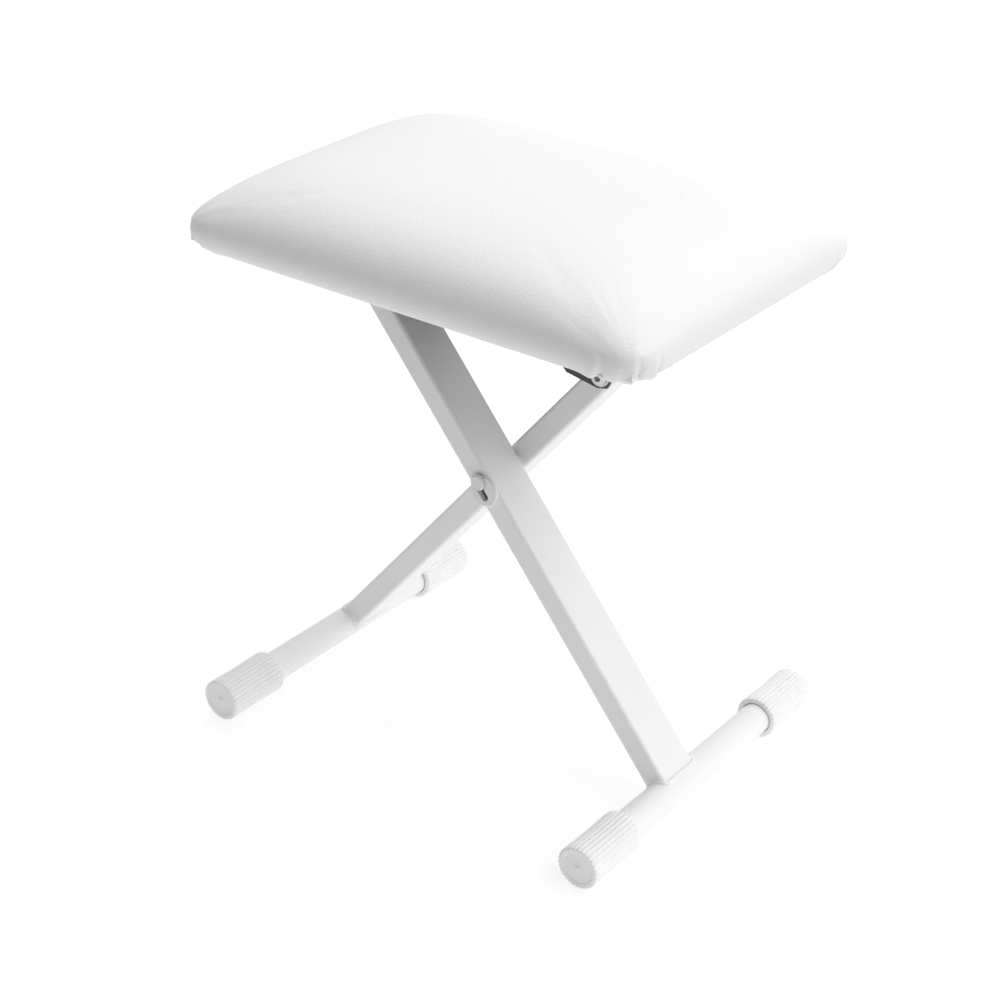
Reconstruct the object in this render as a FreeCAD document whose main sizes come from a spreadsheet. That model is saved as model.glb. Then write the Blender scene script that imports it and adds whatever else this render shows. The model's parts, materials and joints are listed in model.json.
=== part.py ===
import FreeCAD, Part

import math
import os

import Sketcher

# Folding keyboard bench: one pair of crossed legs under a padded seat
# X runs along the seat, Y goes to the back, Z is up, and the floor is Z = 0

DOC = FreeCAD.newDocument("folding_bench")
V = FreeCAD.Vector

# Driving dimensions in millimetres and degrees
DIMENSIONS = {
    # crossed legs, rectangular tube
    "leg_depth": 40.0,
    "leg_thick": 20.0,
    "leg_wall": 1.5,
    "leg_corner": 3.0,
    "leg_gap": 3.0,
    "leg_tail": 9.0,
    "plug_lip": 1.5,
    "plug_depth": 12.0,
    # floor bars and their caps
    "foot_spread": 354.0,
    "foot_length": 306.0,
    "foot_tube_dia": 25.0,
    "foot_tube_wall": 1.5,
    "cap_dia": 35.0,
    "cap_length": 58.0,
    "cap_end_wall": 4.0,
    "cap_waist": 0.7,
    "cap_clearance": 0.1,
    "flute_count": 30.0,
    "flute_depth": 1.0,
    "flute_floor": 0.8,
    "flute_mouth": 2.4,
    "end_disc_dia": 26.0,
    "end_disc_depth": 0.7,
    "end_nub_dia": 2.4,
    # crossing bolt and its slotted plate
    "pivot_height": 231.5,
    "bolt_dia": 8.0,
    "running_gap": 0.05,
    "sleeve_dia": 12.0,
    "pivot_head_dia": 12.5,
    "pivot_head_height": 3.0,
    "plate_dia": 24.6,
    "plate_thick": 2.8,
    "plate_shift": 8.3,
    "plate_seat_dia": 15.0,
    "plate_seat_depth": 1.0,
    "plate_slot_width": 6.8,
    "plate_slot_end": 15.8,
    "plate_slot_side": 2.1,
    "spacer_dia": 16.0,
    "washer_dia": 15.0,
    "washer_thick": 1.5,
    "nut_flats": 13.0,
    "nut_height": 7.0,
    "socket_flats": 5.0,
    "socket_depth": 3.0,
    # folding: reach of the seat hinge and of the guide bolt from the crossing
    "hinge_reach": 164.0,
    "guide_reach": 124.0,
    "fold_angle": 70.0,
    "seat_follow": 0.48,
    # steel rails under the seat
    "rail_thick": 2.0,
    "rail_gap": 0.5,
    "rail_flange": 24.0,
    "rail_lobe": 10.0,
    "jaw_length": 28.0,
    "jaw_step": 9.5,
    "tie_drop": 20.0,
    "rail_tail": 6.0,
    "track_play": 0.35,
    "screw_dia": 6.0,
    "screw_head_dia": 11.0,
    "screw_head_height": 3.2,
    "screw_length": 13.0,
    "tee_flange_dia": 18.0,
    "tee_barrel_dia": 8.0,
    "tee_barrel_length": 9.0,
    "tee_flange_thick": 1.5,
    # seat
    "rail_rise": 50.1,
    "board_thick": 12.0,
    "board_length": 390.0,
    "board_width": 274.0,
    "board_corner": 24.0,
    "end_padding": 7.0,
    "side_padding": 7.5,
    "cushion_drop": 2.2,
    "cushion_crown": 52.5,
    "cushion_tuck": 2.5,
    "rim_rise": 2.5,
    "cover_thick": 1.4,
    "cover_wrap": 31.0,
    "sheet_thick": 0.8,
    "sheet_margin": 16.0,
    "sheet_opening": 5.0,
    "staple_crown": 10.0,
    "staple_wire": 0.9,
    "staple_leg": 6.0,
    "seat_clearance": 0.3,
}

SHEET = DOC.addObject("Spreadsheet::Sheet", "dims")
for row, (alias, number) in enumerate(DIMENSIONS.items(), start=1):
    SHEET.set("A%d" % row, alias)
    SHEET.set("B%d" % row, str(number))
    SHEET.setAlias("B%d" % row, alias)
DOC.recompute()


def dim(alias):
    """The number that the sheet holds under this alias."""
    return float(SHEET.get(alias))


PIECES = []


def keep(piece, label):
    """Name a finished piece after the file it is written to."""
    piece.Label = label
    PIECES.append(piece)
    return piece


# Derived places

FOOT_AXIS_Z = dim("cap_dia") / 2
LEG_ANGLE = math.degrees(math.atan2(dim("pivot_height") - FOOT_AXIS_Z, dim("foot_spread") / 2))
LEG_REACH = math.hypot(dim("pivot_height") - FOOT_AXIS_Z, dim("foot_spread") / 2)
PIVOT = V(0, 0, dim("pivot_height"))
FRONT_LEG_Y = -(dim("leg_gap") + dim("leg_depth")) / 2
REAR_LEG_Y = -FRONT_LEG_Y
LEG_FRONT_FACE = FRONT_LEG_Y - dim("leg_depth") / 2
LEG_REAR_FACE = REAR_LEG_Y + dim("leg_depth") / 2
RAIL_FRONT_Y = -dim("rail_thick") / 2
RAIL_REAR_Y = LEG_REAR_FACE + dim("rail_gap")
RAIL_OUTER_Y = RAIL_REAR_Y + dim("rail_thick")
CUSHION_LENGTH = dim("board_length") + 2 * dim("end_padding")
CUSHION_WIDTH = dim("board_width") + 2 * dim("side_padding")


def along_leg(reach, side):
    """Point on a leg's axis, this far above the crossing; side -1 is the front leg."""
    angle = math.radians(LEG_ANGLE)
    return PIVOT + V(side * reach * math.cos(angle), 0, reach * math.sin(angle))


HINGE = along_leg(dim("hinge_reach"), -1)
GUIDE = along_leg(dim("guide_reach"), 1)
BOARD_UNDER = HINGE.z + dim("rail_rise")


def leg_placement(side, centre_y):
    """Local Z climbs the leg from its foot bar, local Y is world Y."""
    foot = V(-side * dim("foot_spread") / 2, centre_y, FOOT_AXIS_Z)
    lean = side * (90 - LEG_ANGLE)
    return FreeCAD.Placement(foot, FreeCAD.Rotation(V(0, 1, 0), lean))


def across_placement(point, start_y):
    """Local Z runs along world Y from this point of the XZ plane."""
    return FreeCAD.Placement(V(point.x, start_y, point.z), FreeCAD.Rotation(V(1, 0, 0), -90))


# Sketch helpers


def origin_plane(body, role):
    return next(item for item in body.Origin.OriginFeatures if item.Role == role)


def new_sketch(body, role, name):
    sketch = body.newObject("Sketcher::SketchObject", name)
    sketch.AttachmentSupport = [(origin_plane(body, role), "")]
    sketch.MapMode = "FlatFace"
    return sketch


def add_circle(sketch, radius_name, radius_rule, start_radius, height_rule=None, start_height=0.0):
    """Circle on the sketch's vertical axis, or at its origin when no height is given."""
    centre = V(0, start_height, 0)
    circle = sketch.addGeometry(Part.Circle(centre, V(0, 0, 1), start_radius), False)
    place = sketch.addConstraint(Sketcher.Constraint("Radius", circle, start_radius))
    sketch.renameConstraint(place, radius_name)
    sketch.setExpression("Constraints." + radius_name, radius_rule)
    if height_rule is None:
        sketch.addConstraint(Sketcher.Constraint("Coincident", circle, 3, -1, 1))
        return
    sketch.addConstraint(Sketcher.Constraint("PointOnObject", circle, 3, -2))
    rise = sketch.addConstraint(Sketcher.Constraint("DistanceY", -1, 1, circle, 3, start_height))
    sketch.renameConstraint(rise, radius_name + "_up")
    sketch.setExpression("Constraints." + radius_name + "_up", height_rule)


def add_rounded_rectangle(sketch, tag, sizes, rules):
    """Centred rectangle with round corners; sizes and rules are width, depth, corner."""
    width, depth, corner = sizes
    flat_x = width / 2 - corner
    flat_y = depth / 2 - corner
    turns = [(flat_x, -flat_y, -90), (flat_x, flat_y, 0), (-flat_x, flat_y, 90), (-flat_x, -flat_y, 180)]
    starts = [
        (V(-flat_x, -depth / 2, 0), V(flat_x, -depth / 2, 0)),
        (V(width / 2, -flat_y, 0), V(width / 2, flat_y, 0)),
        (V(flat_x, depth / 2, 0), V(-flat_x, depth / 2, 0)),
        (V(-width / 2, flat_y, 0), V(-width / 2, -flat_y, 0)),
    ]
    lines = []
    arcs = []
    for (start, end), (centre_x, centre_y, turn) in zip(starts, turns):
        lines.append(sketch.addGeometry(Part.LineSegment(start, end), False))
        circle = Part.Circle(V(centre_x, centre_y, 0), V(0, 0, 1), corner)
        arc = Part.ArcOfCircle(circle, math.radians(turn), math.radians(turn + 90))
        arcs.append(sketch.addGeometry(arc, False))
    for index in range(4):
        following = lines[(index + 1) % 4]
        sketch.addConstraint(Sketcher.Constraint("Tangent", lines[index], 2, arcs[index], 1))
        sketch.addConstraint(Sketcher.Constraint("Tangent", arcs[index], 2, following, 1))
        kind = "Horizontal" if index % 2 == 0 else "Vertical"
        sketch.addConstraint(Sketcher.Constraint(kind, lines[index]))
    for arc in arcs[1:]:
        sketch.addConstraint(Sketcher.Constraint("Equal", arcs[0], arc))
    sketch.addConstraint(Sketcher.Constraint("Symmetric", arcs[0], 3, arcs[2], 3, -1, 1))
    measures = [
        (tag + "_corner", "Radius", (arcs[0],), corner, rules[2]),
        (tag + "_width", "DistanceX", (lines[3], 1, lines[1], 1), width, rules[0]),
        (tag + "_depth", "DistanceY", (lines[0], 1, lines[2], 1), depth, rules[1]),
    ]
    bind_measures(sketch, measures)


def bind_measures(sketch, measures):
    """Named sizes of a sketch; each is a name, a kind, what it spans, a start and a rule."""
    for name, kind, where, start, rule in measures:
        place = sketch.addConstraint(Sketcher.Constraint(kind, *where, start))
        sketch.renameConstraint(place, name)
        sketch.setExpression("Constraints." + name, rule)


def new_body(name):
    return DOC.addObject("PartDesign::Body", name)


def pad(body, sketch, length_rule):
    feature = body.newObject("PartDesign::Pad", body.Name + "_pad")
    feature.Profile = sketch
    feature.setExpression("Length", length_rule)
    sketch.Visibility = False
    DOC.recompute()
    return feature


def pocket_through(body, sketch, tag):
    """Pocket both ways through the body, checked to remove material."""
    before = body.Shape.Volume
    feature = body.newObject("PartDesign::Pocket", body.Name + "_" + tag)
    feature.Profile = sketch
    feature.Type = "ThroughAll"
    feature.Midplane = True
    DOC.recompute()
    if body.Shape.Volume >= before:
        raise RuntimeError(body.Name + ": " + tag + " cut nothing")
    return feature


def add_primitive(body, kind, tag, rules, start_rule=None):
    """PartDesign primitive on the body's own axis, raised by start_rule."""
    feature = body.newObject("PartDesign::" + kind, body.Name + "_" + tag)
    for name, rule in rules.items():
        if isinstance(rule, int):
            setattr(feature, name, rule)
        else:
            feature.setExpression(name, rule)
    if start_rule is not None:
        feature.setExpression("Placement.Base.z", start_rule)
    DOC.recompute()
    return feature


def bevel_edges(body, tag, size_rule, wanted):
    """Chamfer the edges of the body's tip that the test picks out."""
    base = body.Tip
    names = ["Edge%d" % (index + 1) for index, edge in enumerate(base.Shape.Edges) if wanted(edge)]
    if not names:
        raise RuntimeError(body.Name + ": no edge to bevel")
    bevel = body.newObject("PartDesign::Chamfer", body.Name + "_" + tag)
    bevel.Base = (base, names)
    bevel.setExpression("Size", size_rule)
    DOC.recompute()
    return bevel


def circle_edge_at(height, radius):
    """Test for a full circle at this local height and of this radius."""

    def wanted(edge):
        curve = edge.Curve
        if not isinstance(curve, Part.Circle) or not edge.isClosed():
            return False
        return abs(curve.Center.z - height) < 0.01 and abs(curve.Radius - radius) < 0.01

    return wanted


# Crossed legs


def build_leg(label, side, centre_y, reach_alias):
    """Rectangular tube, cut to sit on its foot bar and drilled for two sleeves."""
    body = new_body(label)
    profile = new_sketch(body, "XY_Plane", label + "_profile")
    sizes = (dim("leg_thick"), dim("leg_depth"), dim("leg_corner"))
    add_rounded_rectangle(profile, "outer", sizes, ("dims.leg_thick", "dims.leg_depth", "dims.leg_corner"))
    wall = dim("leg_wall")
    inner = (sizes[0] - 2 * wall, sizes[1] - 2 * wall, sizes[2] - wall)
    inner_rules = (
        "dims.leg_thick - 2 * dims.leg_wall",
        "dims.leg_depth - 2 * dims.leg_wall",
        "dims.leg_corner - dims.leg_wall",
    )
    add_rounded_rectangle(profile, "inner", inner, inner_rules)
    foot_rule = "sqrt((dims.pivot_height - dims.cap_dia / 2)^2 + (dims.foot_spread / 2)^2)"
    pad(body, profile, foot_rule + " + dims." + reach_alias + " + dims.leg_tail")
    cope = new_sketch(body, "XZ_Plane", label + "_cope")
    add_circle(cope, "floor_tube", "dims.foot_tube_dia / 2", dim("foot_tube_dia") / 2)
    pocket_through(body, cope, "cope_cut")
    for tag, reach, rule in (
        ("crossing", LEG_REACH, foot_rule),
        ("top", LEG_REACH + dim(reach_alias), foot_rule + " + dims." + reach_alias),
    ):
        hole = new_sketch(body, "XZ_Plane", label + "_" + tag)
        add_circle(hole, tag, "dims.sleeve_dia / 2", dim("sleeve_dia") / 2, rule, reach)
        pocket_through(body, hole, tag + "_hole")
    body.Placement = leg_placement(side, centre_y)
    return keep(body, label)


def build_front_leg():
    """Front leg, with the window in its front wall behind the plate's slot."""
    leg = build_leg("front_leg", -1, FRONT_LEG_Y, "hinge_reach")
    before = leg.Shape.Volume
    window = leg.newObject("PartDesign::SubtractiveBox", "front_leg_window")
    window.setExpression("Length", "dims.plate_slot_width")
    window.setExpression("Width", "2 * dims.leg_wall")
    window.setExpression("Height", "dims.plate_slot_end - dims.sleeve_dia / 2 - 1.5")
    window.setExpression("Placement.Base.x", "-dims.plate_slot_side - dims.plate_slot_width / 2")
    window.setExpression("Placement.Base.y", "-dims.leg_depth / 2 - dims.leg_wall")
    rise = "sqrt((dims.pivot_height - dims.cap_dia / 2)^2 + (dims.foot_spread / 2)^2)"
    window.setExpression("Placement.Base.z", rise + " - dims.plate_slot_end + 0.5")
    DOC.recompute()
    if leg.Shape.Volume >= before:
        raise RuntimeError("front_leg: the window cut nothing")


def build_leg_plug(label, side, centre_y, reach_alias):
    """Push-in plug that closes a leg's top end."""
    body = new_body(label)
    lip = new_sketch(body, "XY_Plane", label + "_lip")
    sizes = (dim("leg_thick"), dim("leg_depth"), dim("leg_corner"))
    add_rounded_rectangle(lip, "lip", sizes, ("dims.leg_thick", "dims.leg_depth", "dims.leg_corner"))
    pad(body, lip, "dims.plug_lip")
    shank = body.newObject("PartDesign::AdditiveBox", label + "_shank")
    play = "2 * dims.leg_wall + 2 * dims.cap_clearance"
    shank.setExpression("Length", "dims.leg_thick - " + play.replace(" + ", " - "))
    shank.setExpression("Width", "dims.leg_depth - " + play.replace(" + ", " - "))
    shank.setExpression("Height", "dims.leg_tail - dims.sleeve_dia / 2 - 0.5")
    shank.setExpression("Placement.Base.x", "-(dims.leg_thick / 2 - dims.leg_wall - dims.cap_clearance)")
    shank.setExpression("Placement.Base.y", "-(dims.leg_depth / 2 - dims.leg_wall - dims.cap_clearance)")
    shank.setExpression("Placement.Base.z", "-(dims.leg_tail - dims.sleeve_dia / 2 - 0.5)")
    DOC.recompute()
    place = leg_placement(side, centre_y)
    top = LEG_REACH + dim(reach_alias) + dim("leg_tail")
    body.Placement = place.multiply(FreeCAD.Placement(V(0, 0, top), FreeCAD.Rotation()))
    return keep(body, label)


# Floor bars and caps


def build_foot_tube(label, side):
    """Round floor bar between the end walls of its two caps."""
    body = new_body(label)
    profile = new_sketch(body, "XY_Plane", label + "_profile")
    radius = dim("foot_tube_dia") / 2
    add_circle(profile, "outer", "dims.foot_tube_dia / 2", radius)
    add_circle(profile, "inner", "dims.foot_tube_dia / 2 - dims.foot_tube_wall", radius - dim("foot_tube_wall"))
    pad(body, profile, "dims.foot_length - 2 * dims.cap_end_wall - 2 * dims.cap_clearance")
    start = -dim("foot_length") / 2 + dim("cap_end_wall") + dim("cap_clearance")
    body.Placement = across_placement(V(side * dim("foot_spread") / 2, 0, FOOT_AXIS_Z), start)
    return keep(body, label)


def add_cap_profile(body):
    """Half section of a cap: waisted outside, bore, sunk end disc with a nub."""
    radius = dim("cap_dia") / 2
    length = dim("cap_length")
    bore = dim("foot_tube_dia") / 2 + dim("cap_clearance")
    sketch = new_sketch(body, "XZ_Plane", body.Name + "_section")
    disc = dim("end_disc_dia") / 2
    sunk = dim("end_disc_depth")
    nub = dim("end_nub_dia") / 2
    wall = dim("cap_end_wall")
    waist = radius - dim("cap_waist")
    corners = [
        V(0, 0, 0), V(nub, 0, 0), V(nub, sunk, 0), V(disc, sunk, 0), V(disc, 0, 0), V(radius, 0, 0),
        V(waist, length / 3, 0), V(waist, 2 * length / 3, 0), V(radius, length, 0),
        V(bore, length, 0), V(bore, wall, 0), V(0, wall, 0),
    ]
    sides = []
    for index, corner in enumerate(corners):
        following = corners[(index + 1) % len(corners)]
        sides.append(sketch.addGeometry(Part.LineSegment(corner, following), False))
    for index, side in enumerate(sides):
        following = sides[(index + 1) % len(sides)]
        sketch.addConstraint(Sketcher.Constraint("Coincident", side, 2, following, 1))
    for index in (0, 2, 4, 8, 10):
        sketch.addConstraint(Sketcher.Constraint("Horizontal", sides[index]))
    for index in (1, 3, 6, 9, 11):
        sketch.addConstraint(Sketcher.Constraint("Vertical", sides[index]))
    sketch.addConstraint(Sketcher.Constraint("Coincident", sides[0], 1, -1, 1))
    sketch.addConstraint(Sketcher.Constraint("PointOnObject", sides[4], 2, -1))
    waist_rule = "dims.cap_dia / 2 - dims.cap_waist"
    bore_rule = "dims.foot_tube_dia / 2 + dims.cap_clearance"
    measures = [
        ("nub", "DistanceX", (-1, 1, sides[0], 2), nub, "dims.end_nub_dia / 2"),
        ("sunk", "DistanceY", (-1, 1, sides[2], 1), sunk, "dims.end_disc_depth"),
        ("disc", "DistanceX", (-1, 1, sides[3], 1), disc, "dims.end_disc_dia / 2"),
        ("outside", "DistanceX", (-1, 1, sides[5], 1), radius, "dims.cap_dia / 2"),
        ("waist", "DistanceX", (-1, 1, sides[6], 1), waist, waist_rule),
        ("waist_start", "DistanceY", (-1, 1, sides[6], 1), length / 3, "dims.cap_length / 3"),
        ("waist_end", "DistanceY", (-1, 1, sides[6], 2), 2 * length / 3, "2 * dims.cap_length / 3"),
        ("rim", "DistanceX", (-1, 1, sides[8], 1), radius, "dims.cap_dia / 2"),
        ("rise", "DistanceY", (-1, 1, sides[8], 1), length, "dims.cap_length"),
        ("bore", "DistanceX", (-1, 1, sides[9], 1), bore, bore_rule),
        ("wall", "DistanceY", (-1, 1, sides[10], 1), wall, "dims.cap_end_wall"),
    ]
    bind_measures(sketch, measures)
    return sketch


def add_flute_profile(body):
    """Cross-section of one groove, narrow at its floor, upright on the sketch's axis."""
    sketch = new_sketch(body, "XY_Plane", body.Name + "_flute")
    floor = dim("cap_dia") / 2 - dim("flute_depth")
    mouth = dim("cap_dia") / 2
    inner = dim("flute_floor") / 2
    outer = dim("flute_mouth") / 2
    above = 1.0
    corners = [
        V(-inner, floor, 0), V(inner, floor, 0), V(outer, mouth, 0),
        V(outer, mouth + above, 0), V(-outer, mouth + above, 0), V(-outer, mouth, 0),
    ]
    sides = []
    for index, corner in enumerate(corners):
        following = corners[(index + 1) % len(corners)]
        sides.append(sketch.addGeometry(Part.LineSegment(corner, following), False))
    for index, side in enumerate(sides):
        following = sides[(index + 1) % len(sides)]
        sketch.addConstraint(Sketcher.Constraint("Coincident", side, 2, following, 1))
    sketch.addConstraint(Sketcher.Constraint("Vertical", sides[2]))
    sketch.addConstraint(Sketcher.Constraint("Symmetric", sides[0], 1, sides[0], 2, -2))
    sketch.addConstraint(Sketcher.Constraint("Symmetric", sides[5], 1, sides[1], 2, -2))
    sketch.addConstraint(Sketcher.Constraint("Symmetric", sides[3], 2, sides[3], 1, -2))
    measures = [
        ("floor_up", "DistanceY", (-1, 1, sides[0], 1), floor, "dims.cap_dia / 2 - dims.flute_depth"),
        ("floor_wide", "DistanceX", (sides[0], 1, sides[0], 2), 2 * inner, "dims.flute_floor"),
        ("mouth_up", "DistanceY", (-1, 1, sides[1], 2), mouth, "dims.cap_dia / 2"),
        ("mouth_wide", "DistanceX", (sides[5], 1, sides[1], 2), 2 * outer, "dims.flute_mouth"),
        ("clear_up", "DistanceY", (-1, 1, sides[3], 1), mouth + above, "dims.cap_dia / 2 + %g" % above),
    ]
    bind_measures(sketch, measures)
    return sketch


def build_foot_cap(label, side, front):
    """Fluted cap: a turned body with one groove repeated round it."""
    body = new_body(label)
    sketch = add_cap_profile(body)
    turned = body.newObject("PartDesign::Revolution", label + "_turned")
    turned.Profile = sketch
    turned.ReferenceAxis = (sketch, ["V_Axis"])
    turned.Angle = 360
    DOC.recompute()
    before = body.Shape.Volume
    groove_sketch = add_flute_profile(body)
    groove = pocket_through(body, groove_sketch, "groove")
    pattern = body.newObject("PartDesign::PolarPattern", label + "_flutes")
    pattern.Originals = [groove]
    pattern.Axis = (groove_sketch, ["N_Axis"])
    pattern.Angle = 360
    pattern.Occurrences = int(dim("flute_count"))
    body.Tip = pattern
    DOC.recompute()
    if body.Shape.Volume >= before:
        raise RuntimeError(label + ": the flutes cut nothing")
    end = -dim("foot_length") / 2 if front else dim("foot_length") / 2
    centre = V(side * dim("foot_spread") / 2, end, FOOT_AXIS_Z)
    turn = FreeCAD.Rotation(V(1, 0, 0), -90 if front else 90)
    # half a pitch of turn sets a rib, not a groove, on the floor
    half_pitch = FreeCAD.Rotation(V(0, 0, 1), 180 / dim("flute_count"))
    body.Placement = FreeCAD.Placement(centre, turn.multiply(half_pitch))
    return keep(body, label)


# Turned hardware


def build_ring(label, point, start_y, rules):
    """Tube or washer across the bench; rules are outer and inner radius and length."""
    body = new_body(label)
    outer, inner, length = rules
    add_primitive(body, "AdditiveCylinder", "outside", {"Radius": outer, "Height": length})
    add_primitive(body, "SubtractiveCylinder", "bore", {"Radius": inner, "Height": length})
    body.Placement = across_placement(point, start_y)
    return keep(body, label)


def build_sleeve(label, reach, side, start_y):
    """Steel sleeve through a leg, so that its bolt can't crush the tube."""
    rules = ("dims.sleeve_dia / 2", "dims.bolt_dia / 2 + dims.running_gap", "dims.leg_depth")
    return build_ring(label, along_leg(reach, side), start_y, rules)


def build_bolt(label, point, head_y, shank_rule, head_rule, flats_rule=None):
    """Low round-head bolt; its head ends at head_y and the shank goes back from there."""
    body = new_body(label)
    add_primitive(body, "AdditiveCylinder", "shank", {"Radius": "dims.bolt_dia / 2", "Height": shank_rule})
    head = {"Radius": head_rule, "Height": "dims.pivot_head_height"}
    add_primitive(body, "AdditiveCylinder", "head", head, "-dims.pivot_head_height")
    radius = float(body.Tip.Radius)
    bevel_edges(body, "crown", "0.35 * dims.pivot_head_height", circle_edge_at(-dim("pivot_head_height"), radius))
    if flats_rule is not None:
        socket = {"Polygon": 6, "Circumradius": flats_rule, "Height": "dims.socket_depth"}
        add_primitive(body, "SubtractivePrism", "socket", socket, "-dims.pivot_head_height")
    body.Placement = across_placement(point, head_y)
    return keep(body, label)


def build_lock_nut(label, point, start_y):
    """Hexagon nut with a round locking collar."""
    body = new_body(label)
    around = {"Polygon": 6, "Circumradius": "dims.nut_flats / 2 / cos(30)", "Height": "dims.nut_height * 0.75"}
    add_primitive(body, "AdditivePrism", "flats", around)
    collar = {"Radius": "dims.nut_flats / 2 - 0.8", "Height": "dims.nut_height"}
    add_primitive(body, "AdditiveCylinder", "collar", collar)
    bore = {"Radius": "dims.bolt_dia / 2", "Height": "dims.nut_height"}
    add_primitive(body, "SubtractiveCylinder", "bore", bore)
    body.Placement = across_placement(point, start_y)
    return keep(body, label)


def build_pivot_plate():
    """Round plate under the crossing bolt's head, off centre and slotted."""
    thick = dim("plate_thick")
    radius = dim("plate_dia") / 2
    shift = dim("plate_shift")
    centre = V(0, -shift, 0)
    plate = Part.makeCylinder(radius, thick, centre)
    rim = [edge for edge in plate.Edges if isinstance(edge.Curve, Part.Circle) and edge.BoundBox.ZMax > thick - 0.1]
    plate = plate.makeChamfer(0.25 * thick, rim)
    hole = Part.makeCylinder(dim("bolt_dia") / 2 + dim("running_gap"), 3 * thick, V(0, 0, -thick))
    seat_depth = dim("plate_seat_depth")
    seat = Part.makeCylinder(dim("plate_seat_dia") / 2, 2 * seat_depth, V(0, 0, thick - seat_depth))
    half = dim("plate_slot_width") / 2
    offset = -dim("plate_slot_side")
    end = dim("plate_slot_end")
    slot = Part.makeBox(2 * half, end - half, 3 * thick, V(offset - half, half - end, -thick))
    slot = slot.fuse(Part.makeCylinder(half, 3 * thick, V(offset, half - end, -thick)))
    shape = plate.cut(Part.makeCompound([hole, seat, slot]))
    feature = DOC.addObject("Part::Feature", "pivot_plate")
    feature.Shape = shape.Solids[0]
    # local Y climbs the front leg and local Z faces the front
    place = leg_placement(-1, LEG_FRONT_FACE)
    local = FreeCAD.Placement(V(0, 0, LEG_REACH), FreeCAD.Rotation(V(1, 0, 0), 90))
    feature.Placement = place.multiply(local)
    return keep(feature, "pivot_plate")


# Seat rails


def track_point(turn):
    """Guide bolt seen from the seat, once the legs have closed by turn radians."""
    angle = math.radians(LEG_ANGLE) + turn
    bolt = PIVOT + V(math.cos(angle), 0, math.sin(angle)) * dim("guide_reach")
    swing = FreeCAD.Rotation(V(0, 1, 0), -math.degrees(dim("seat_follow") * turn))
    return HINGE + swing.multVec(bolt - HINGE)


def track_outline(half_width, lead):
    """Closed outline round the guide bolt's path, lengthened at both ends by lead radians."""
    steps = 14
    first = -lead
    last = math.radians(dim("fold_angle")) + lead
    left = []
    right = []
    for index in range(steps + 1):
        turn = first + (last - first) * index / steps
        point = track_point(turn)
        ahead = track_point(turn + 0.001) - point
        ahead.normalize()
        side = V(-ahead.z, 0, ahead.x) * half_width
        left.append(point + side)
        right.append(point - side)
    edges = []
    for row in (left, right):
        curve = Part.BSplineCurve()
        curve.interpolate(row)
        edges.append(curve.toShape())
    for turn, ahead_sign, start, end in ((first, -1, right[0], left[0]), (last, 1, left[-1], right[-1])):
        point = track_point(turn)
        ahead = track_point(turn + 0.001) - point
        ahead.normalize()
        edges.append(Part.Arc(start, point + ahead * (ahead_sign * half_width), end).toShape())
    return Part.Face(Part.Wire(Part.__sortEdges__(edges)))


def rail_face():
    """Side view of a rail: a deep plate with a jaw below the guide bolt."""
    under = BOARD_UNDER
    lobe = dim("rail_lobe")
    right = tie_point().x + lobe + dim("rail_thick")
    left = HINGE.x - lobe - dim("rail_tail")
    jaw = V(GUIDE.x, 0, GUIDE.z - lobe)
    corners = [
        V(left, 0, under),
        V(left, 0, HINGE.z + 4),
        V(HINGE.x - lobe * 0.7, 0, HINGE.z - lobe * 0.8),
        V(HINGE.x + lobe, 0, HINGE.z - lobe),
        V(GUIDE.x - 2 * dim("jaw_length"), 0, jaw.z + 3 * dim("jaw_step")),
        V(GUIDE.x - dim("jaw_length") - 0.8 * dim("jaw_step"), 0, jaw.z + dim("jaw_step")),
        V(GUIDE.x - dim("jaw_length") - 0.3 * dim("jaw_step"), 0, jaw.z + 0.5 * dim("jaw_step")),
        V(GUIDE.x - 0.3 * lobe, 0, jaw.z),
        V(GUIDE.x + lobe * 0.6, 0, jaw.z + lobe * 0.2),
        V(GUIDE.x + lobe, 0, GUIDE.z),
        V(right, 0, tie_point().z - 3 * lobe),
        V(right, 0, under),
    ]
    return Part.Face(Part.makePolygon(corners + corners[:1]))


def tie_point():
    """Centre of the bolt that ties the right ends of the two rails."""
    return V(GUIDE.x + dim("rail_lobe") + 1, 0, BOARD_UNDER - dim("tie_drop"))


def flange_screw_xs():
    return (HINGE.x - 2, (HINGE.x + GUIDE.x) / 2, GUIDE.x + dim("rail_lobe") - 2)


def screw_places():
    """Axis of every rail screw, as x and y."""
    reach = dim("rail_flange") * 0.62
    rows = (RAIL_FRONT_Y - reach, RAIL_OUTER_Y + reach)
    return [(x, y) for y in rows for x in flange_screw_xs()]


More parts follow.
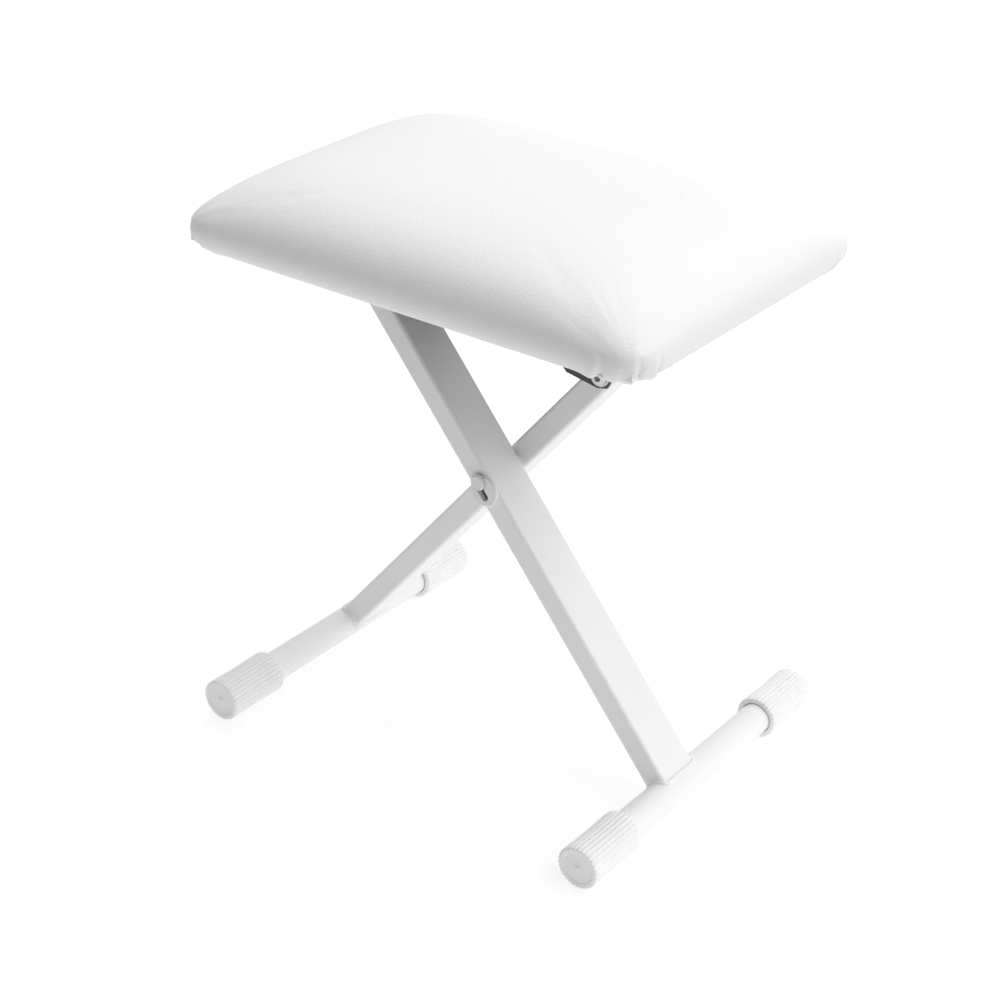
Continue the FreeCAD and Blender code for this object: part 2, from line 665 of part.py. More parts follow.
def build_rail(label, near_y, flange_side):
    """Upright plate with the guide track, and a flange screwed to the board."""
    thick = dim("rail_thick")
    under = BOARD_UNDER
    face = rail_face()
    face.translate(V(0, near_y, 0))
    plate = face.extrude(V(0, thick, 0))
    slot = track_outline(dim("bolt_dia") / 2 + dim("track_play"), 0.004)
    slot.translate(V(0, near_y - thick, 0))
    cuts = [slot.extrude(V(0, 3 * thick, 0))]
    for point in (HINGE, tie_point()):
        radius = dim("bolt_dia") / 2 + dim("running_gap")
        cuts.append(Part.makeCylinder(radius, 3 * thick, V(point.x, near_y - thick, point.z), V(0, 1, 0)))
    box = face.BoundBox
    width = dim("rail_flange")
    start = near_y - width if flange_side < 0 else near_y
    flange = Part.makeBox(box.XLength, width + thick, thick, V(box.XMin, start, under - thick))
    outer = [
        edge for edge in flange.Edges
        if abs(edge.tangentAt(edge.FirstParameter).z) > 0.9
        and (edge.BoundBox.YMax < near_y if flange_side < 0 else edge.BoundBox.YMin > near_y + thick)
    ]
    flange = flange.makeFillet(8, outer)
    for x, y in screw_places():
        if start < y < start + width + thick:
            cuts.append(Part.makeCylinder(dim("screw_dia") / 2 + 0.3, 3 * thick, V(x, y, under - 2 * thick)))
    shape = plate.fuse(flange).removeSplitter().cut(Part.makeCompound(cuts))
    feature = DOC.addObject("Part::Feature", label)
    feature.Shape = shape.Solids[0]
    feature.Placement = FreeCAD.Placement()
    return keep(feature, label)


def build_group(label, shapes):
    """Identical fasteners: separate solids in one node."""
    feature = DOC.addObject("Part::Feature", label)
    feature.Shape = Part.makeCompound(shapes)
    feature.Placement = FreeCAD.Placement()
    return keep(feature, label)


def rail_screw(x, y):
    """Pan-head screw, head below the flange."""
    seat = BOARD_UNDER - dim("rail_thick")
    height = dim("screw_head_height")
    head = Part.makeCylinder(dim("screw_head_dia") / 2, height, V(x, y, seat - height))
    bottom = [edge for edge in head.Edges if edge.BoundBox.ZMax < seat - height + 0.1]
    head = head.makeChamfer(0.4 * height, bottom)
    socket = Part.makeBox(1.2, 6, 1.4, V(x - 0.6, y - 3, seat - height - 0.1))
    cross = Part.makeBox(6, 1.2, 1.4, V(x - 3, y - 0.6, seat - height - 0.1))
    shank = Part.makeCylinder(dim("screw_dia") / 2, dim("screw_length"), V(x, y, seat))
    return head.fuse(shank).cut(socket.fuse(cross)).Solids[0]


def tee_nut(x, y):
    """Flanged nut let into the top of the board."""
    top = BOARD_UNDER + dim("board_thick")
    flange_thick = dim("tee_flange_thick")
    length = dim("tee_barrel_length")
    flange = Part.makeCylinder(dim("tee_flange_dia") / 2, flange_thick, V(x, y, top - flange_thick))
    barrel = Part.makeCylinder(dim("tee_barrel_dia") / 2, length, V(x, y, top - length))
    bore = Part.makeCylinder(dim("screw_dia") / 2, 2 * length, V(x, y, top - 1.5 * length))
    return flange.fuse(barrel).cut(bore).Solids[0]


# Seat


def quarter_turn(centre, radius, start, chords):
    """Corner of an outline: one arc, or this many chords where nothing shows it."""
    if not chords:
        return [Part.makeCircle(radius, centre, V(0, 0, 1), start, start + 90)]
    points = []
    for index in range(chords + 1):
        angle = math.radians(start + 90 * index / chords)
        points.append(centre + V(radius * math.cos(angle), radius * math.sin(angle), 0))
    return [Part.makeLine(point, following) for point, following in zip(points, points[1:])]


def cushion_section(level, shrink, chords):
    """Outline of the cushion at this crown level, 0 at the rim and 1 at the top."""
    power = 3.3
    half_x = CUSHION_LENGTH / 2 - shrink
    half_y = CUSHION_WIDTH / 2 - shrink
    middle = (1 - level) ** (1 / power)
    corner = (1 - math.sqrt(level)) ** (1 / power)
    # a round corner passes the diagonal point of the level's outline
    radius = (middle - corner) * (half_x + half_y) / 2 / (1 - math.sqrt(0.5))
    half_x *= middle
    half_y *= middle
    flat_x = half_x - radius
    flat_y = half_y - radius
    edges = []
    for turn, start, end in (
        (0, V(half_x, -flat_y, 0), V(half_x, flat_y, 0)),
        (90, V(flat_x, half_y, 0), V(-flat_x, half_y, 0)),
        (180, V(-half_x, flat_y, 0), V(-half_x, -flat_y, 0)),
        (270, V(-flat_x, -half_y, 0), V(flat_x, -half_y, 0)),
    ):
        edges.append(Part.makeLine(start, end))
        centre = V(flat_x if turn in (0, 270) else -flat_x, flat_y if turn in (0, 90) else -flat_y, 0)
        edges += quarter_turn(centre, radius, turn, chords)
    return Part.Wire(edges)


def cushion_solid(shrink, bottom):
    """Crowned cushion form, this much inside the outer skin, from the given bottom up."""
    levels = (0.04, 0.1, 0.2, 0.36, 0.56, 0.78, 0.93, 0.992)
    chords = 0
    if shrink:
        levels = (0.06, 0.36, 0.86)
        chords = 4
    rim = BOARD_UNDER + dim("rim_rise")
    side_level = 0.01
    sections = [(bottom, side_level, shrink + dim("cushion_tuck")), (rim + 4, side_level, shrink)]
    for level in levels:
        sections.append((rim + dim("cushion_crown") * level ** 0.35 - shrink, level, shrink))
    wires = []
    for height, level, inset in sections:
        wire = cushion_section(level, inset, chords)
        wire.translate(V(0, 0, height))
        wires.append(wire)
    return Part.makeLoft(wires, True, True)


def rounded_slab(length, width, corner, bottom, thick):
    slab = Part.makeBox(length, width, thick, V(-length / 2, -width / 2, bottom))
    upright = [edge for edge in slab.Edges if abs(edge.tangentAt(edge.FirstParameter).z) > 0.9]
    return slab.makeFillet(corner, upright)


def staple_places():
    """Centre and direction of every staple, in from the sheet's edge."""
    half_x = dim("board_length") / 2 - dim("sheet_margin") - 6
    half_y = dim("board_width") / 2 - dim("sheet_margin") - 6
    places = []
    for index in range(6):
        x = -half_x + 12 + index * (2 * half_x - 24) / 5
        places += [(x, -half_y, True), (x, half_y, True)]
    for index in range(4):
        y = -half_y + 18 + index * (2 * half_y - 36) / 3
        places += [(-half_x, y, False), (half_x, y, False)]
    return places


def sheet_bottom():
    return BOARD_UNDER - dim("cushion_drop") - dim("sheet_thick")


def staple(x, y, lengthwise):
    """Crown below the sheet, legs up into the board."""
    crown = dim("staple_crown")
    wire = dim("staple_wire")
    base = sheet_bottom() - wire
    rise = wire + dim("sheet_thick") + dim("cushion_drop") + dim("staple_leg")
    bar = Part.makeBox(crown, wire, wire, V(-crown / 2, -wire / 2, 0))
    shapes = [Part.makeBox(wire, wire, rise, V(end, -wire / 2, 0)) for end in (-crown / 2, crown / 2 - wire)]
    shape = bar.multiFuse(shapes).removeSplitter()
    turn = FreeCAD.Rotation(V(0, 0, 1), 0 if lengthwise else 90)
    shape.Placement = FreeCAD.Placement(V(x, y, base), turn)
    return shape.Solids[0]


def build_seat():
    """Board, foam, cover, dust sheet and staples, each cut clear of the others."""
    under = BOARD_UNDER
    thick = dim("board_thick")
    gap = dim("seat_clearance")
    staples = [staple(*place) for place in staple_places()]
    staple_cut = Part.makeCompound(staples)
    length = dim("board_length")
    width = dim("board_width")
    corner = dim("board_corner")
    screws = [rail_screw(x, y) for x, y in screw_places()]
    nuts = [tee_nut(x, y) for x, y in screw_places()]
    board = rounded_slab(length, width, corner, under, thick)
    for x, y in screw_places():
        board = board.cut(Part.makeCylinder(dim("tee_barrel_dia") / 2, 2 * thick, V(x, y, under - thick / 2)))
        flange_thick = dim("tee_flange_thick")
        recess_start = V(x, y, under + thick - flange_thick)
        recess = Part.makeCylinder(dim("tee_flange_dia") / 2, 2 * flange_thick, recess_start)
        board = board.cut(recess)
    board = board.cut(staple_cut)
    bottom = under - dim("cushion_drop")
    skin = dim("cover_thick")
    room = rounded_slab(length + 2 * gap, width + 2 * gap, corner, under - gap, thick + 2 * gap)
    foam = cushion_solid(skin + gap, under + gap).cut(room)
    cover = cushion_solid(0, bottom).cut(cushion_solid(skin, under - gap))
    mouth = rounded_slab(
        length - 2 * dim("cover_wrap"), width - 2 * dim("cover_wrap"), corner, bottom - 1, 3
    )
    cover = cover.cut(mouth).cut(staple_cut)
    sheet_length = length - 2 * dim("sheet_margin")
    sheet_width = width - 2 * dim("sheet_margin")
    sheet = rounded_slab(sheet_length, sheet_width, corner, sheet_bottom(), dim("sheet_thick"))
    margin = dim("sheet_opening")
    rail_box = rail_face().BoundBox
    left = rail_box.XMin - margin
    right = rail_box.XMax + margin
    front = RAIL_FRONT_Y - dim("rail_flange") - margin
    back = RAIL_OUTER_Y + dim("rail_flange") + margin
    opening = Part.makeBox(right - left, back - front, 6, V(left, front, sheet_bottom() - 2))
    sheet = sheet.cut(opening).cut(staple_cut)
    build_group("rail_screws", screws)
    build_group("seat_tee_nuts", nuts)
    build_group("cover_staples", staples)
    for label, shape in (
        ("seat_board", board), ("seat_foam", foam), ("seat_cover", cover), ("dust_cover", sheet)
    ):
        feature = DOC.addObject("Part::Feature", label)
        feature.Shape = max(shape.Solids, key=lambda solid: solid.Volume)
        feature.Placement = FreeCAD.Placement()
        keep(feature, label)


# Assembly of the three moving groups


def build_leg_frames():
    build_front_leg()
    build_leg("rear_leg", 1, REAR_LEG_Y, "guide_reach")
    build_leg_plug("front_leg_plug", -1, FRONT_LEG_Y, "hinge_reach")
    build_leg_plug("rear_leg_plug", 1, REAR_LEG_Y, "guide_reach")
    for name, side in (("right", 1), ("left", -1)):
        build_foot_tube(name + "_foot_tube", side)
        build_foot_cap(name + "_front_foot_cap", side, True)
        build_foot_cap(name + "_rear_foot_cap", side, False)


def build_crossing():
    build_sleeve("front_pivot_sleeve", 0, -1, LEG_FRONT_FACE)
    build_sleeve("rear_pivot_sleeve", 0, 1, dim("leg_gap") / 2)
    build_pivot_plate()
    loose = "dims.bolt_dia / 2 + dims.running_gap"
    build_ring("pivot_spacer", PIVOT, -dim("leg_gap") / 2, ("dims.spacer_dia / 2", loose, "dims.leg_gap"))
    head_y = LEG_FRONT_FACE - dim("plate_thick") + dim("plate_seat_depth")
    stack = "dims.plate_thick - dims.plate_seat_depth + 2 * dims.leg_depth + dims.leg_gap"
    shank = stack + " + dims.washer_thick + dims.nut_height + 1"
    build_bolt("pivot_bolt", PIVOT, head_y, shank, "dims.pivot_head_dia / 2")
    washer = ("dims.washer_dia / 2", loose, "dims.washer_thick")
    build_ring("pivot_washer", PIVOT, LEG_REAR_FACE, washer)
    build_lock_nut("pivot_lock_nut", PIVOT, LEG_REAR_FACE + dim("washer_thick"))


def build_guide():
    """Bolt through the rear leg that rides in the tracks of both rails."""
    build_sleeve("guide_sleeve", dim("guide_reach"), 1, dim("leg_gap") / 2)
    play = 0.15
    front = RAIL_FRONT_Y - play - dim("washer_thick")
    back = RAIL_OUTER_Y + play
    loose = "dims.bolt_dia / 2 + dims.running_gap"
    washer = ("dims.washer_dia / 2", loose, "dims.washer_thick")
    build_ring("guide_front_washer", GUIDE, front, washer)
    build_ring("guide_rear_washer", GUIDE, back, washer)
    span = back - front + dim("washer_thick")
    build_bolt("guide_bolt", GUIDE, front, "%.3f + dims.nut_height + 1" % span,
               "dims.pivot_head_dia / 2", "dims.socket_flats / 2 / cos(30)")
    build_lock_nut("guide_lock_nut", GUIDE, back + dim("washer_thick"))


def build_hinge():
    """Bolt on which the front leg turns below the left end of the rails."""
    build_sleeve("hinge_sleeve", dim("hinge_reach"), -1, LEG_FRONT_FACE)
    play = 0.1
    loose = "dims.bolt_dia / 2 + dims.running_gap"
    washer = ("dims.washer_dia / 2", loose, "dims.washer_thick")
    front = LEG_FRONT_FACE - play - dim("washer_thick")
    build_ring("hinge_front_washer", HINGE, front, washer)
    build_ring("hinge_rear_washer", HINGE, RAIL_OUTER_Y, washer)
    span = RAIL_OUTER_Y - front + dim("washer_thick")
    build_bolt("hinge_bolt", HINGE, front, "%.3f + dims.nut_height + 1" % span,
               "dims.pivot_head_dia / 2", "dims.socket_flats / 2 / cos(30)")
    build_lock_nut("hinge_lock_nut", HINGE, RAIL_OUTER_Y + dim("washer_thick"))


def build_rails():
    build_rail("front_seat_rail", RAIL_FRONT_Y, -1)
    build_rail("rear_seat_rail", RAIL_REAR_Y, 1)
    inside = RAIL_REAR_Y - (RAIL_FRONT_Y + dim("rail_thick"))
    tube = ("dims.sleeve_dia / 2", "dims.bolt_dia / 2 + dims.running_gap", "%.3f" % inside)
    start = RAIL_FRONT_Y + dim("rail_thick")
    build_ring("hinge_spacer", HINGE, start, tube)
    build_ring("rail_tie_spacer", tie_point(), start, tube)
    span = RAIL_OUTER_Y - RAIL_FRONT_Y
    build_bolt("rail_tie_bolt", tie_point(), RAIL_FRONT_Y, "%.3f + dims.nut_height + 1" % span,
               "dims.pivot_head_dia / 2", "dims.socket_flats / 2 / cos(30)")
    build_lock_nut("rail_tie_nut", tie_point(), RAIL_OUTER_Y)


def check_and_export():
    """Every object must be sound before any file is written."""
    DOC.recompute()
    for item in DOC.Objects:
        if "Invalid" in item.State or "Error" in item.State:
            raise RuntimeError(item.Name + " is in state " + ", ".join(item.State))
    for piece in PIECES:
        if piece.Shape.isNull() or not piece.Shape.isValid() or not piece.Shape.Solids:
            raise RuntimeError(piece.Label + " has no sound shape")
    os.makedirs("parts", exist_ok=True)
    for piece in PIECES:
        piece.Shape.exportStep("parts/" + piece.Label + ".step")


build_leg_frames()
build_crossing()
build_guide()
build_hinge()
build_rails()
build_seat()
check_and_export()
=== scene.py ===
import json
import math

import bpy
from mathutils import Matrix, Vector, noise


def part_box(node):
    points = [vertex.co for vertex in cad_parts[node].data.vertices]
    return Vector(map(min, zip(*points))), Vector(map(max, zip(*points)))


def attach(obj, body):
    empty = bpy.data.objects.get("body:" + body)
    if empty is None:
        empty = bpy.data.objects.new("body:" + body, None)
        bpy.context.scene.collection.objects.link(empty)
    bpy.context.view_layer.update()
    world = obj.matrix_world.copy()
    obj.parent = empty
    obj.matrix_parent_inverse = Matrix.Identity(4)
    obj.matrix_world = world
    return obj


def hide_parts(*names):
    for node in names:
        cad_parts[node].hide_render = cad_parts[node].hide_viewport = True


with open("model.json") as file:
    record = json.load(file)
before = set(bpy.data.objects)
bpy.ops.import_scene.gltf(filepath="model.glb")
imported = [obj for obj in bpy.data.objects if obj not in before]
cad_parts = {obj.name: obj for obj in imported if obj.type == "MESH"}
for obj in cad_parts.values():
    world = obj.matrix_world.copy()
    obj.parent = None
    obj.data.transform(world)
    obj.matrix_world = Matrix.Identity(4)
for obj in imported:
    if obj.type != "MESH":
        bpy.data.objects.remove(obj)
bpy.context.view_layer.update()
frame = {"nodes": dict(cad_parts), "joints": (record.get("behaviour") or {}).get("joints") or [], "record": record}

bl_info = {
    "name": "Folding Bench Dresser",
    "version": (1, 0, 0),
    "blender": (4, 5, 0),
    "location": "3D View > Sidebar > Bench",
    "description": "Finishes, welds, padded seat and studio for a folding bench",
    "category": "Object",
}

MM = 0.001
COVER_LOW, COVER_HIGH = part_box("seat_cover")

# Seat form, read from the frame where the frame has it
CROWN_POWER = 3.3
CROWN_EASE = 0.35
SIDE_LEVEL = 0.01
TOP_LEVEL = 0.992
SIDE_FULL = (1 - SIDE_LEVEL) ** (1 / CROWN_POWER)
HALF_LENGTH = (COVER_HIGH[0] - COVER_LOW[0]) / 2 / SIDE_FULL
HALF_WIDTH = (COVER_HIGH[1] - COVER_LOW[1]) / 2 / SIDE_FULL
SEAT_BOTTOM = COVER_LOW[2]
RIM_RISE = 4.7 * MM
WALL_RISE = 4 * MM

# Cuts of the seat's blank along X, Y and Z, and the point from which it is drawn to its form
SEAT_CUTS = (55, 39, 9)
SEAT_HEART = 14 * MM
SEAT_SLACK = 1.6 * MM
SIMULATED_FRAMES = 20
AVERAGING_ROUNDS = 12

# Leg section at the welds, and the way round it in millimetres
LEG_HALF_DEPTH = 20 * MM
LEG_HALF_THICK = 10 * MM
LEG_CORNER = 3 * MM
LEG_WAY_ROUND = 107

CAP_RIBS = 30
CAP_RADIUS = 17.5
CAP_SIDE_START = 0.9
CAP_SIDE_LENGTH = 56.2
CAP_SIDE_ROWS = 14
CAP_STEPS = 360


class BenchSizes(bpy.types.PropertyGroup):
    """Sizes that a user would change."""

    edge_tuck: bpy.props.FloatProperty(
        name="Edge tuck", description="How far the lower edge of the seat draws in",
        default=2.6 * MM, unit="LENGTH")
    edge_round: bpy.props.FloatProperty(
        name="Edge round", description="Radius where the cover turns under the board",
        default=2.6 * MM, unit="LENGTH")
    corner_round: bpy.props.FloatProperty(
        name="Corner round", description="Radius of the seat's corners seen from above",
        default=26.0 * MM, unit="LENGTH")
    rim_drop: bpy.props.FloatProperty(
        name="Rim drop", description="How far the padded rim hangs below the board",
        default=3.2 * MM, unit="LENGTH")
    swell: bpy.props.FloatProperty(
        name="Swell", description="Farthest that the stuffing pushes the cover out",
        default=6.0 * MM, unit="LENGTH")
    pucker: bpy.props.FloatProperty(
        name="Pucker", description="Share of the simulated wrinkles that is kept",
        default=0.14)
    pleat_depth: bpy.props.FloatProperty(
        name="Pleat depth", description="Depth of the gathered folds at the corners",
        default=2.6 * MM, unit="LENGTH")
    flute_depth: bpy.props.FloatProperty(
        name="Flute depth", description="Depth of the grooves in the foot caps",
        default=1.15 * MM, unit="LENGTH")
    cap_waist: bpy.props.FloatProperty(
        name="Cap waist", description="How much thinner a foot cap is half way along",
        default=0.6 * MM, unit="LENGTH")
    weld_radius: bpy.props.FloatProperty(
        name="Weld radius", description="Half width of the weld beads",
        default=1.7 * MM, unit="LENGTH")


class BenchColours(bpy.types.PropertyGroup):
    """Colours that a user would change."""

    frame_white: bpy.props.FloatVectorProperty(
        name="Frame", description="Powder coat on the tubes", subtype="COLOR",
        default=(0.9, 0.9, 0.905))
    cap_white: bpy.props.FloatVectorProperty(
        name="Caps", description="Moulded foot caps", subtype="COLOR",
        default=(0.9, 0.9, 0.895))
    seat_white: bpy.props.FloatVectorProperty(
        name="Seat", description="Coated cover of the seat", subtype="COLOR",
        default=(0.855, 0.855, 0.86))
    rail_dark: bpy.props.FloatVectorProperty(
        name="Rails", description="Dark paint on the seat rails", subtype="COLOR",
        default=(0.045, 0.045, 0.05))


# Shader helpers


def add_node(tree, kind, values=None, **settings):
    node = tree.nodes.new(kind)
    for name, value in settings.items():
        setattr(node, name, value)
    for name, value in (values or {}).items():
        node.inputs[name].default_value = value
    return node


def join(tree, source, output, target, name):
    tree.links.new(source.outputs[output], target.inputs[name])


def new_group(name, inputs, outputs):
    """Empty node group; inputs map a name to its default, outputs list names."""
    tree = bpy.data.node_groups.new(name, "ShaderNodeTree")
    kinds = {3: "NodeSocketVector", 1: "NodeSocketFloat"}
    for label, default in inputs.items():
        size = len(default) if isinstance(default, tuple) else 1
        made = tree.interface.new_socket(name=label, in_out="INPUT", socket_type=kinds[size])
        made.default_value = default
    for label in outputs:
        tree.interface.new_socket(name=label, in_out="OUTPUT", socket_type="NodeSocketFloat")
    entry = tree.nodes.new("NodeGroupInput")
    result = tree.nodes.new("NodeGroupOutput")
    return tree, entry, result


def fine_texture_group():
    """Two sizes of noise on the piece's own coordinates: a fine height and a broad mask."""
    inputs = {"Vector": (0.0, 0.0, 0.0), "Fine Scale": 900.0, "Broad Scale": 25.0}
    tree, entry, result = new_group("Fine Texture", inputs, ("Height", "Mask"))
    fine = add_node(tree, "ShaderNodeTexNoise", {"Detail": 3.0, "Roughness": 0.55})
    broad = add_node(tree, "ShaderNodeTexNoise", {"Detail": 2.0, "Roughness": 0.5})
    for texture, scale, label in ((fine, "Fine Scale", "Height"), (broad, "Broad Scale", "Mask")):
        join(tree, entry, "Vector", texture, "Vector")
        join(tree, entry, scale, texture, "Scale")
        join(tree, texture, "Fac", result, label)
    return tree


def hide_grain_group():
    """Pebbled grain and long irregular creases of a coated cover, with a crease mask that is used for painted
    shade in the creases.
    """
    inputs = {"Vector": (0.0, 0.0, 0.0), "Pebble Scale": 620.0, "Crease Scale": 62.0, "Crease Share": 0.55}
    tree, entry, result = new_group("Hide Grain", inputs, ("Height", "Painted Crease Shade"))
    warp = add_node(tree, "ShaderNodeTexNoise", {"Scale": 55.0, "Detail": 2.0, "Roughness": 0.5})
    join(tree, entry, "Vector", warp, "Vector")
    centre = add_node(tree, "ShaderNodeVectorMath", operation="SUBTRACT")
    centre.inputs[1].default_value = (0.5, 0.5, 0.5)
    join(tree, warp, "Color", centre, 0)
    shrink = add_node(tree, "ShaderNodeVectorMath", operation="SCALE")
    shrink.inputs["Scale"].default_value = 0.012
    join(tree, centre, "Vector", shrink, 0)
    warped = add_node(tree, "ShaderNodeVectorMath", operation="ADD")
    join(tree, entry, "Vector", warped, 0)
    join(tree, shrink, "Vector", warped, 1)
    pebble = add_node(tree, "ShaderNodeTexVoronoi", {"Randomness": 1.0}, feature="SMOOTH_F1")
    pebble.inputs["Smoothness"].default_value = 0.6
    join(tree, entry, "Vector", pebble, "Vector")
    join(tree, entry, "Pebble Scale", pebble, "Scale")
    stretch = add_node(tree, "ShaderNodeMapping")
    stretch.inputs["Rotation"].default_value = (0.0, 0.0, math.radians(-38))
    stretch.inputs["Scale"].default_value = (1.9, 0.62, 1.0)
    join(tree, warped, "Vector", stretch, "Vector")
    crease = add_node(
        tree, "ShaderNodeTexNoise", {"Detail": 4.0, "Roughness": 0.6, "Lacunarity": 2.2},
        noise_type="RIDGED_MULTIFRACTAL", normalize=True)
    join(tree, stretch, "Vector", crease, "Vector")
    join(tree, entry, "Crease Scale", crease, "Scale")
    line = add_node(tree, "ShaderNodeMapRange", {"From Min": 0.35, "From Max": 0.85})
    join(tree, crease, "Fac", line, "Value")
    share = add_node(tree, "ShaderNodeMath", operation="MULTIPLY")
    join(tree, line, "Result", share, 0)
    join(tree, entry, "Crease Share", share, 1)
    round_top = add_node(tree, "ShaderNodeMath", operation="MULTIPLY")
    round_top.inputs[1].default_value = -0.35
    join(tree, pebble, "Distance", round_top, 0)
    total = add_node(tree, "ShaderNodeMath", operation="SUBTRACT")
    join(tree, round_top, "Value", total, 0)
    join(tree, share, "Value", total, 1)
    join(tree, total, "Value", result, "Height")
    join(tree, share, "Value", result, "Painted Crease Shade")
    return tree


# Node groups and finishes that have been made, by name
GROUPS = {}


def group_node(tree, maker):
    if maker.__name__ not in GROUPS:
        GROUPS[maker.__name__] = maker()
    node = tree.nodes.new("ShaderNodeGroup")
    node.node_tree = GROUPS[maker.__name__]
    return node


def new_material(name, **plain):
    """Material with a Principled shader whose plain values are set on its sockets."""
    material = bpy.data.materials.new(name)
    material.use_nodes = True
    tree = material.node_tree
    shader = tree.nodes["Principled BSDF"]
    for label, value in plain.items():
        shader.inputs[label.replace("_", " ")].default_value = value
    material.diffuse_color = (0.8, 0.8, 0.8, 1.0)
    return material, tree, shader


def own_coordinates(tree):
    return tree.nodes.new("ShaderNodeTexCoord")


def shade_between(tree, shader, source, output, dark, light, low=0.35, high=0.65):
    """Base colour that runs from dark to light with a mask."""
    ramp = add_node(tree, "ShaderNodeValToRGB")
    ramp.color_ramp.elements[0].position = low
    ramp.color_ramp.elements[1].position = high
    ramp.color_ramp.elements[0].color = (*dark, 1.0)
    ramp.color_ramp.elements[1].color = (*light, 1.0)
    join(tree, source, output, ramp, "Fac")
    join(tree, ramp, "Color", shader, "Base Color")
    return ramp


def roughness_between(tree, shader, source, output, low, high):
    spread = add_node(tree, "ShaderNodeMapRange", {"To Min": low, "To Max": high})
    join(tree, source, output, spread, "Value")
    join(tree, spread, "Result", shader, "Roughness")


def bump_from(tree, shader, source, output, strength, distance):
    bump = add_node(tree, "ShaderNodeBump", {"Strength": strength, "Distance": distance})
    join(tree, source, output, bump, "Height")
    join(tree, bump, "Normal", shader, "Normal")
    return bump


def darker(colour, factor):
    return tuple(part * factor for part in colour)


# Materials, one function for each finish


def textured(name, colour, factor, scales, roughness, bump, **plain):
    """Finish made of one fine texture: tone, roughness and bump follow it."""
    material, tree, shader = new_material(name, **plain)
    place = own_coordinates(tree)
    texture = group_node(tree, fine_texture_group)
    texture.inputs["Fine Scale"].default_value = scales[0]
    texture.inputs["Broad Scale"].default_value = scales[1]
    join(tree, place, "Object", texture, "Vector")
    shade_between(tree, shader, texture, "Mask", darker(colour, factor), colour)
    roughness_between(tree, shader, texture, "Mask", *roughness)
    bump_from(tree, shader, texture, "Height", *bump)
    return material


def powder_coat(colours):
    """White powder coat with a fine orange-peel surface."""
    return textured("powder_coat", tuple(colours.frame_white), 0.975, (650.0, 16.0), (0.34, 0.44),
                    (0.16, 0.25 * MM))


def moulded_caps(colours):
    """Moulded plastic, matt on the ribs."""
    return textured("moulded_caps", tuple(colours.cap_white), 0.965, (1400.0, 30.0), (0.42, 0.56),
                    (0.14, 0.12 * MM))


def moulded_plugs(colours):
    return textured("moulded_plugs", darker(tuple(colours.cap_white), 0.97), 0.96, (1100.0, 40.0),
                    (0.45, 0.6), (0.12, 0.1 * MM))


def painted_hardware(colours):
    """Painted over with the frame, so a little smoother and greyer than it."""
    return textured("painted_hardware", darker(tuple(colours.frame_white), 0.94), 0.93, (800.0, 120.0),
                    (0.3, 0.42), (0.12, 0.15 * MM))


def bright_zinc(colours):
    """Zinc-plated steel with short turning marks."""
    material, tree, shader = new_material("bright_zinc", Metallic=1.0)
    place = own_coordinates(tree)
    stretch = add_node(tree, "ShaderNodeMapping")
    stretch.inputs["Scale"].default_value = (1.0, 9.0, 1.0)
    join(tree, place, "Object", stretch, "Vector")
    texture = group_node(tree, fine_texture_group)
    texture.inputs["Fine Scale"].default_value = 420.0
    texture.inputs["Broad Scale"].default_value = 60.0
    join(tree, stretch, "Vector", texture, "Vector")
    shade_between(tree, shader, texture, "Mask", (0.5, 0.5, 0.49), (0.68, 0.69, 0.7))
    roughness_between(tree, shader, texture, "Height", 0.24, 0.42)
    bump_from(tree, shader, texture, "Height", 0.18, 0.08 * MM)
    return material


def pale_nylon(colours):
    return textured("pale_nylon", (0.84, 0.84, 0.81), 0.96, (900.0, 90.0), (0.3, 0.42), (0.08, 0.1 * MM))


def dark_paint(colours):
    """Dark baked paint with a satin skin."""
    return textured("dark_paint", tuple(colours.rail_dark), 0.7, (700.0, 35.0), (0.32, 0.48),
                    (0.2, 0.2 * MM))


def plywood(colours):
    """Pale plywood: long grain on the faces and stacked plies on the edges."""
    material, tree, shader = new_material("plywood", Roughness=0.72)
    place = own_coordinates(tree)
    along = add_node(tree, "ShaderNodeMapping")
    along.inputs["Scale"].default_value = (6.0, 70.0, 1.0)
    join(tree, place, "Object", along, "Vector")
    grain = add_node(tree, "ShaderNodeTexNoise", {"Scale": 3.0, "Detail": 6.0, "Roughness": 0.62})
    join(tree, along, "Vector", grain, "Vector")
    plies = add_node(tree, "ShaderNodeTexWave", {"Scale": 130.0, "Distortion": 0.6}, bands_direction="Z")
    join(tree, place, "Object", plies, "Vector")
    mixed = add_node(tree, "ShaderNodeMath", operation="MULTIPLY_ADD")
    mixed.inputs[1].default_value = 0.25
    join(tree, plies, "Fac", mixed, 0)
    join(tree, grain, "Fac", mixed, 2)
    shade_between(tree, shader, mixed, "Value", (0.42, 0.29, 0.16), (0.7, 0.54, 0.35), 0.3, 0.9)
    bump_from(tree, shader, mixed, "Value", 0.25, 0.3 * MM)
    return material


def open_foam(colours):
    return textured("open_foam", (0.86, 0.83, 0.7), 0.85, (1500.0, 260.0), (0.85, 0.95), (0.6, 0.8 * MM))


def coated_cover(colours):
    """White coated cover: pebbled grain, creases with painted shade darkening their valleys, and a soft sheen."""
    material, tree, shader = new_material("coated_cover")
    shader.inputs["Coat Weight"].default_value = 0.12
    shader.inputs["Coat Roughness"].default_value = 0.32
    place = own_coordinates(tree)
    grain = group_node(tree, hide_grain_group)
    join(tree, place, "Object", grain, "Vector")
    white = tuple(colours.seat_white)
    # The colour is a little darker in the crease valleys: painted shade.
    shade_between(tree, shader, grain, "Painted Crease Shade", white, darker(white, 0.955), 0.1, 0.6)
    texture = group_node(tree, fine_texture_group)
    texture.inputs["Broad Scale"].default_value = 14.0
    join(tree, place, "Object", texture, "Vector")
    roughness_between(tree, shader, texture, "Mask", 0.36, 0.48)
    bump_from(tree, shader, grain, "Height", 0.75, 0.5 * MM)
    return material


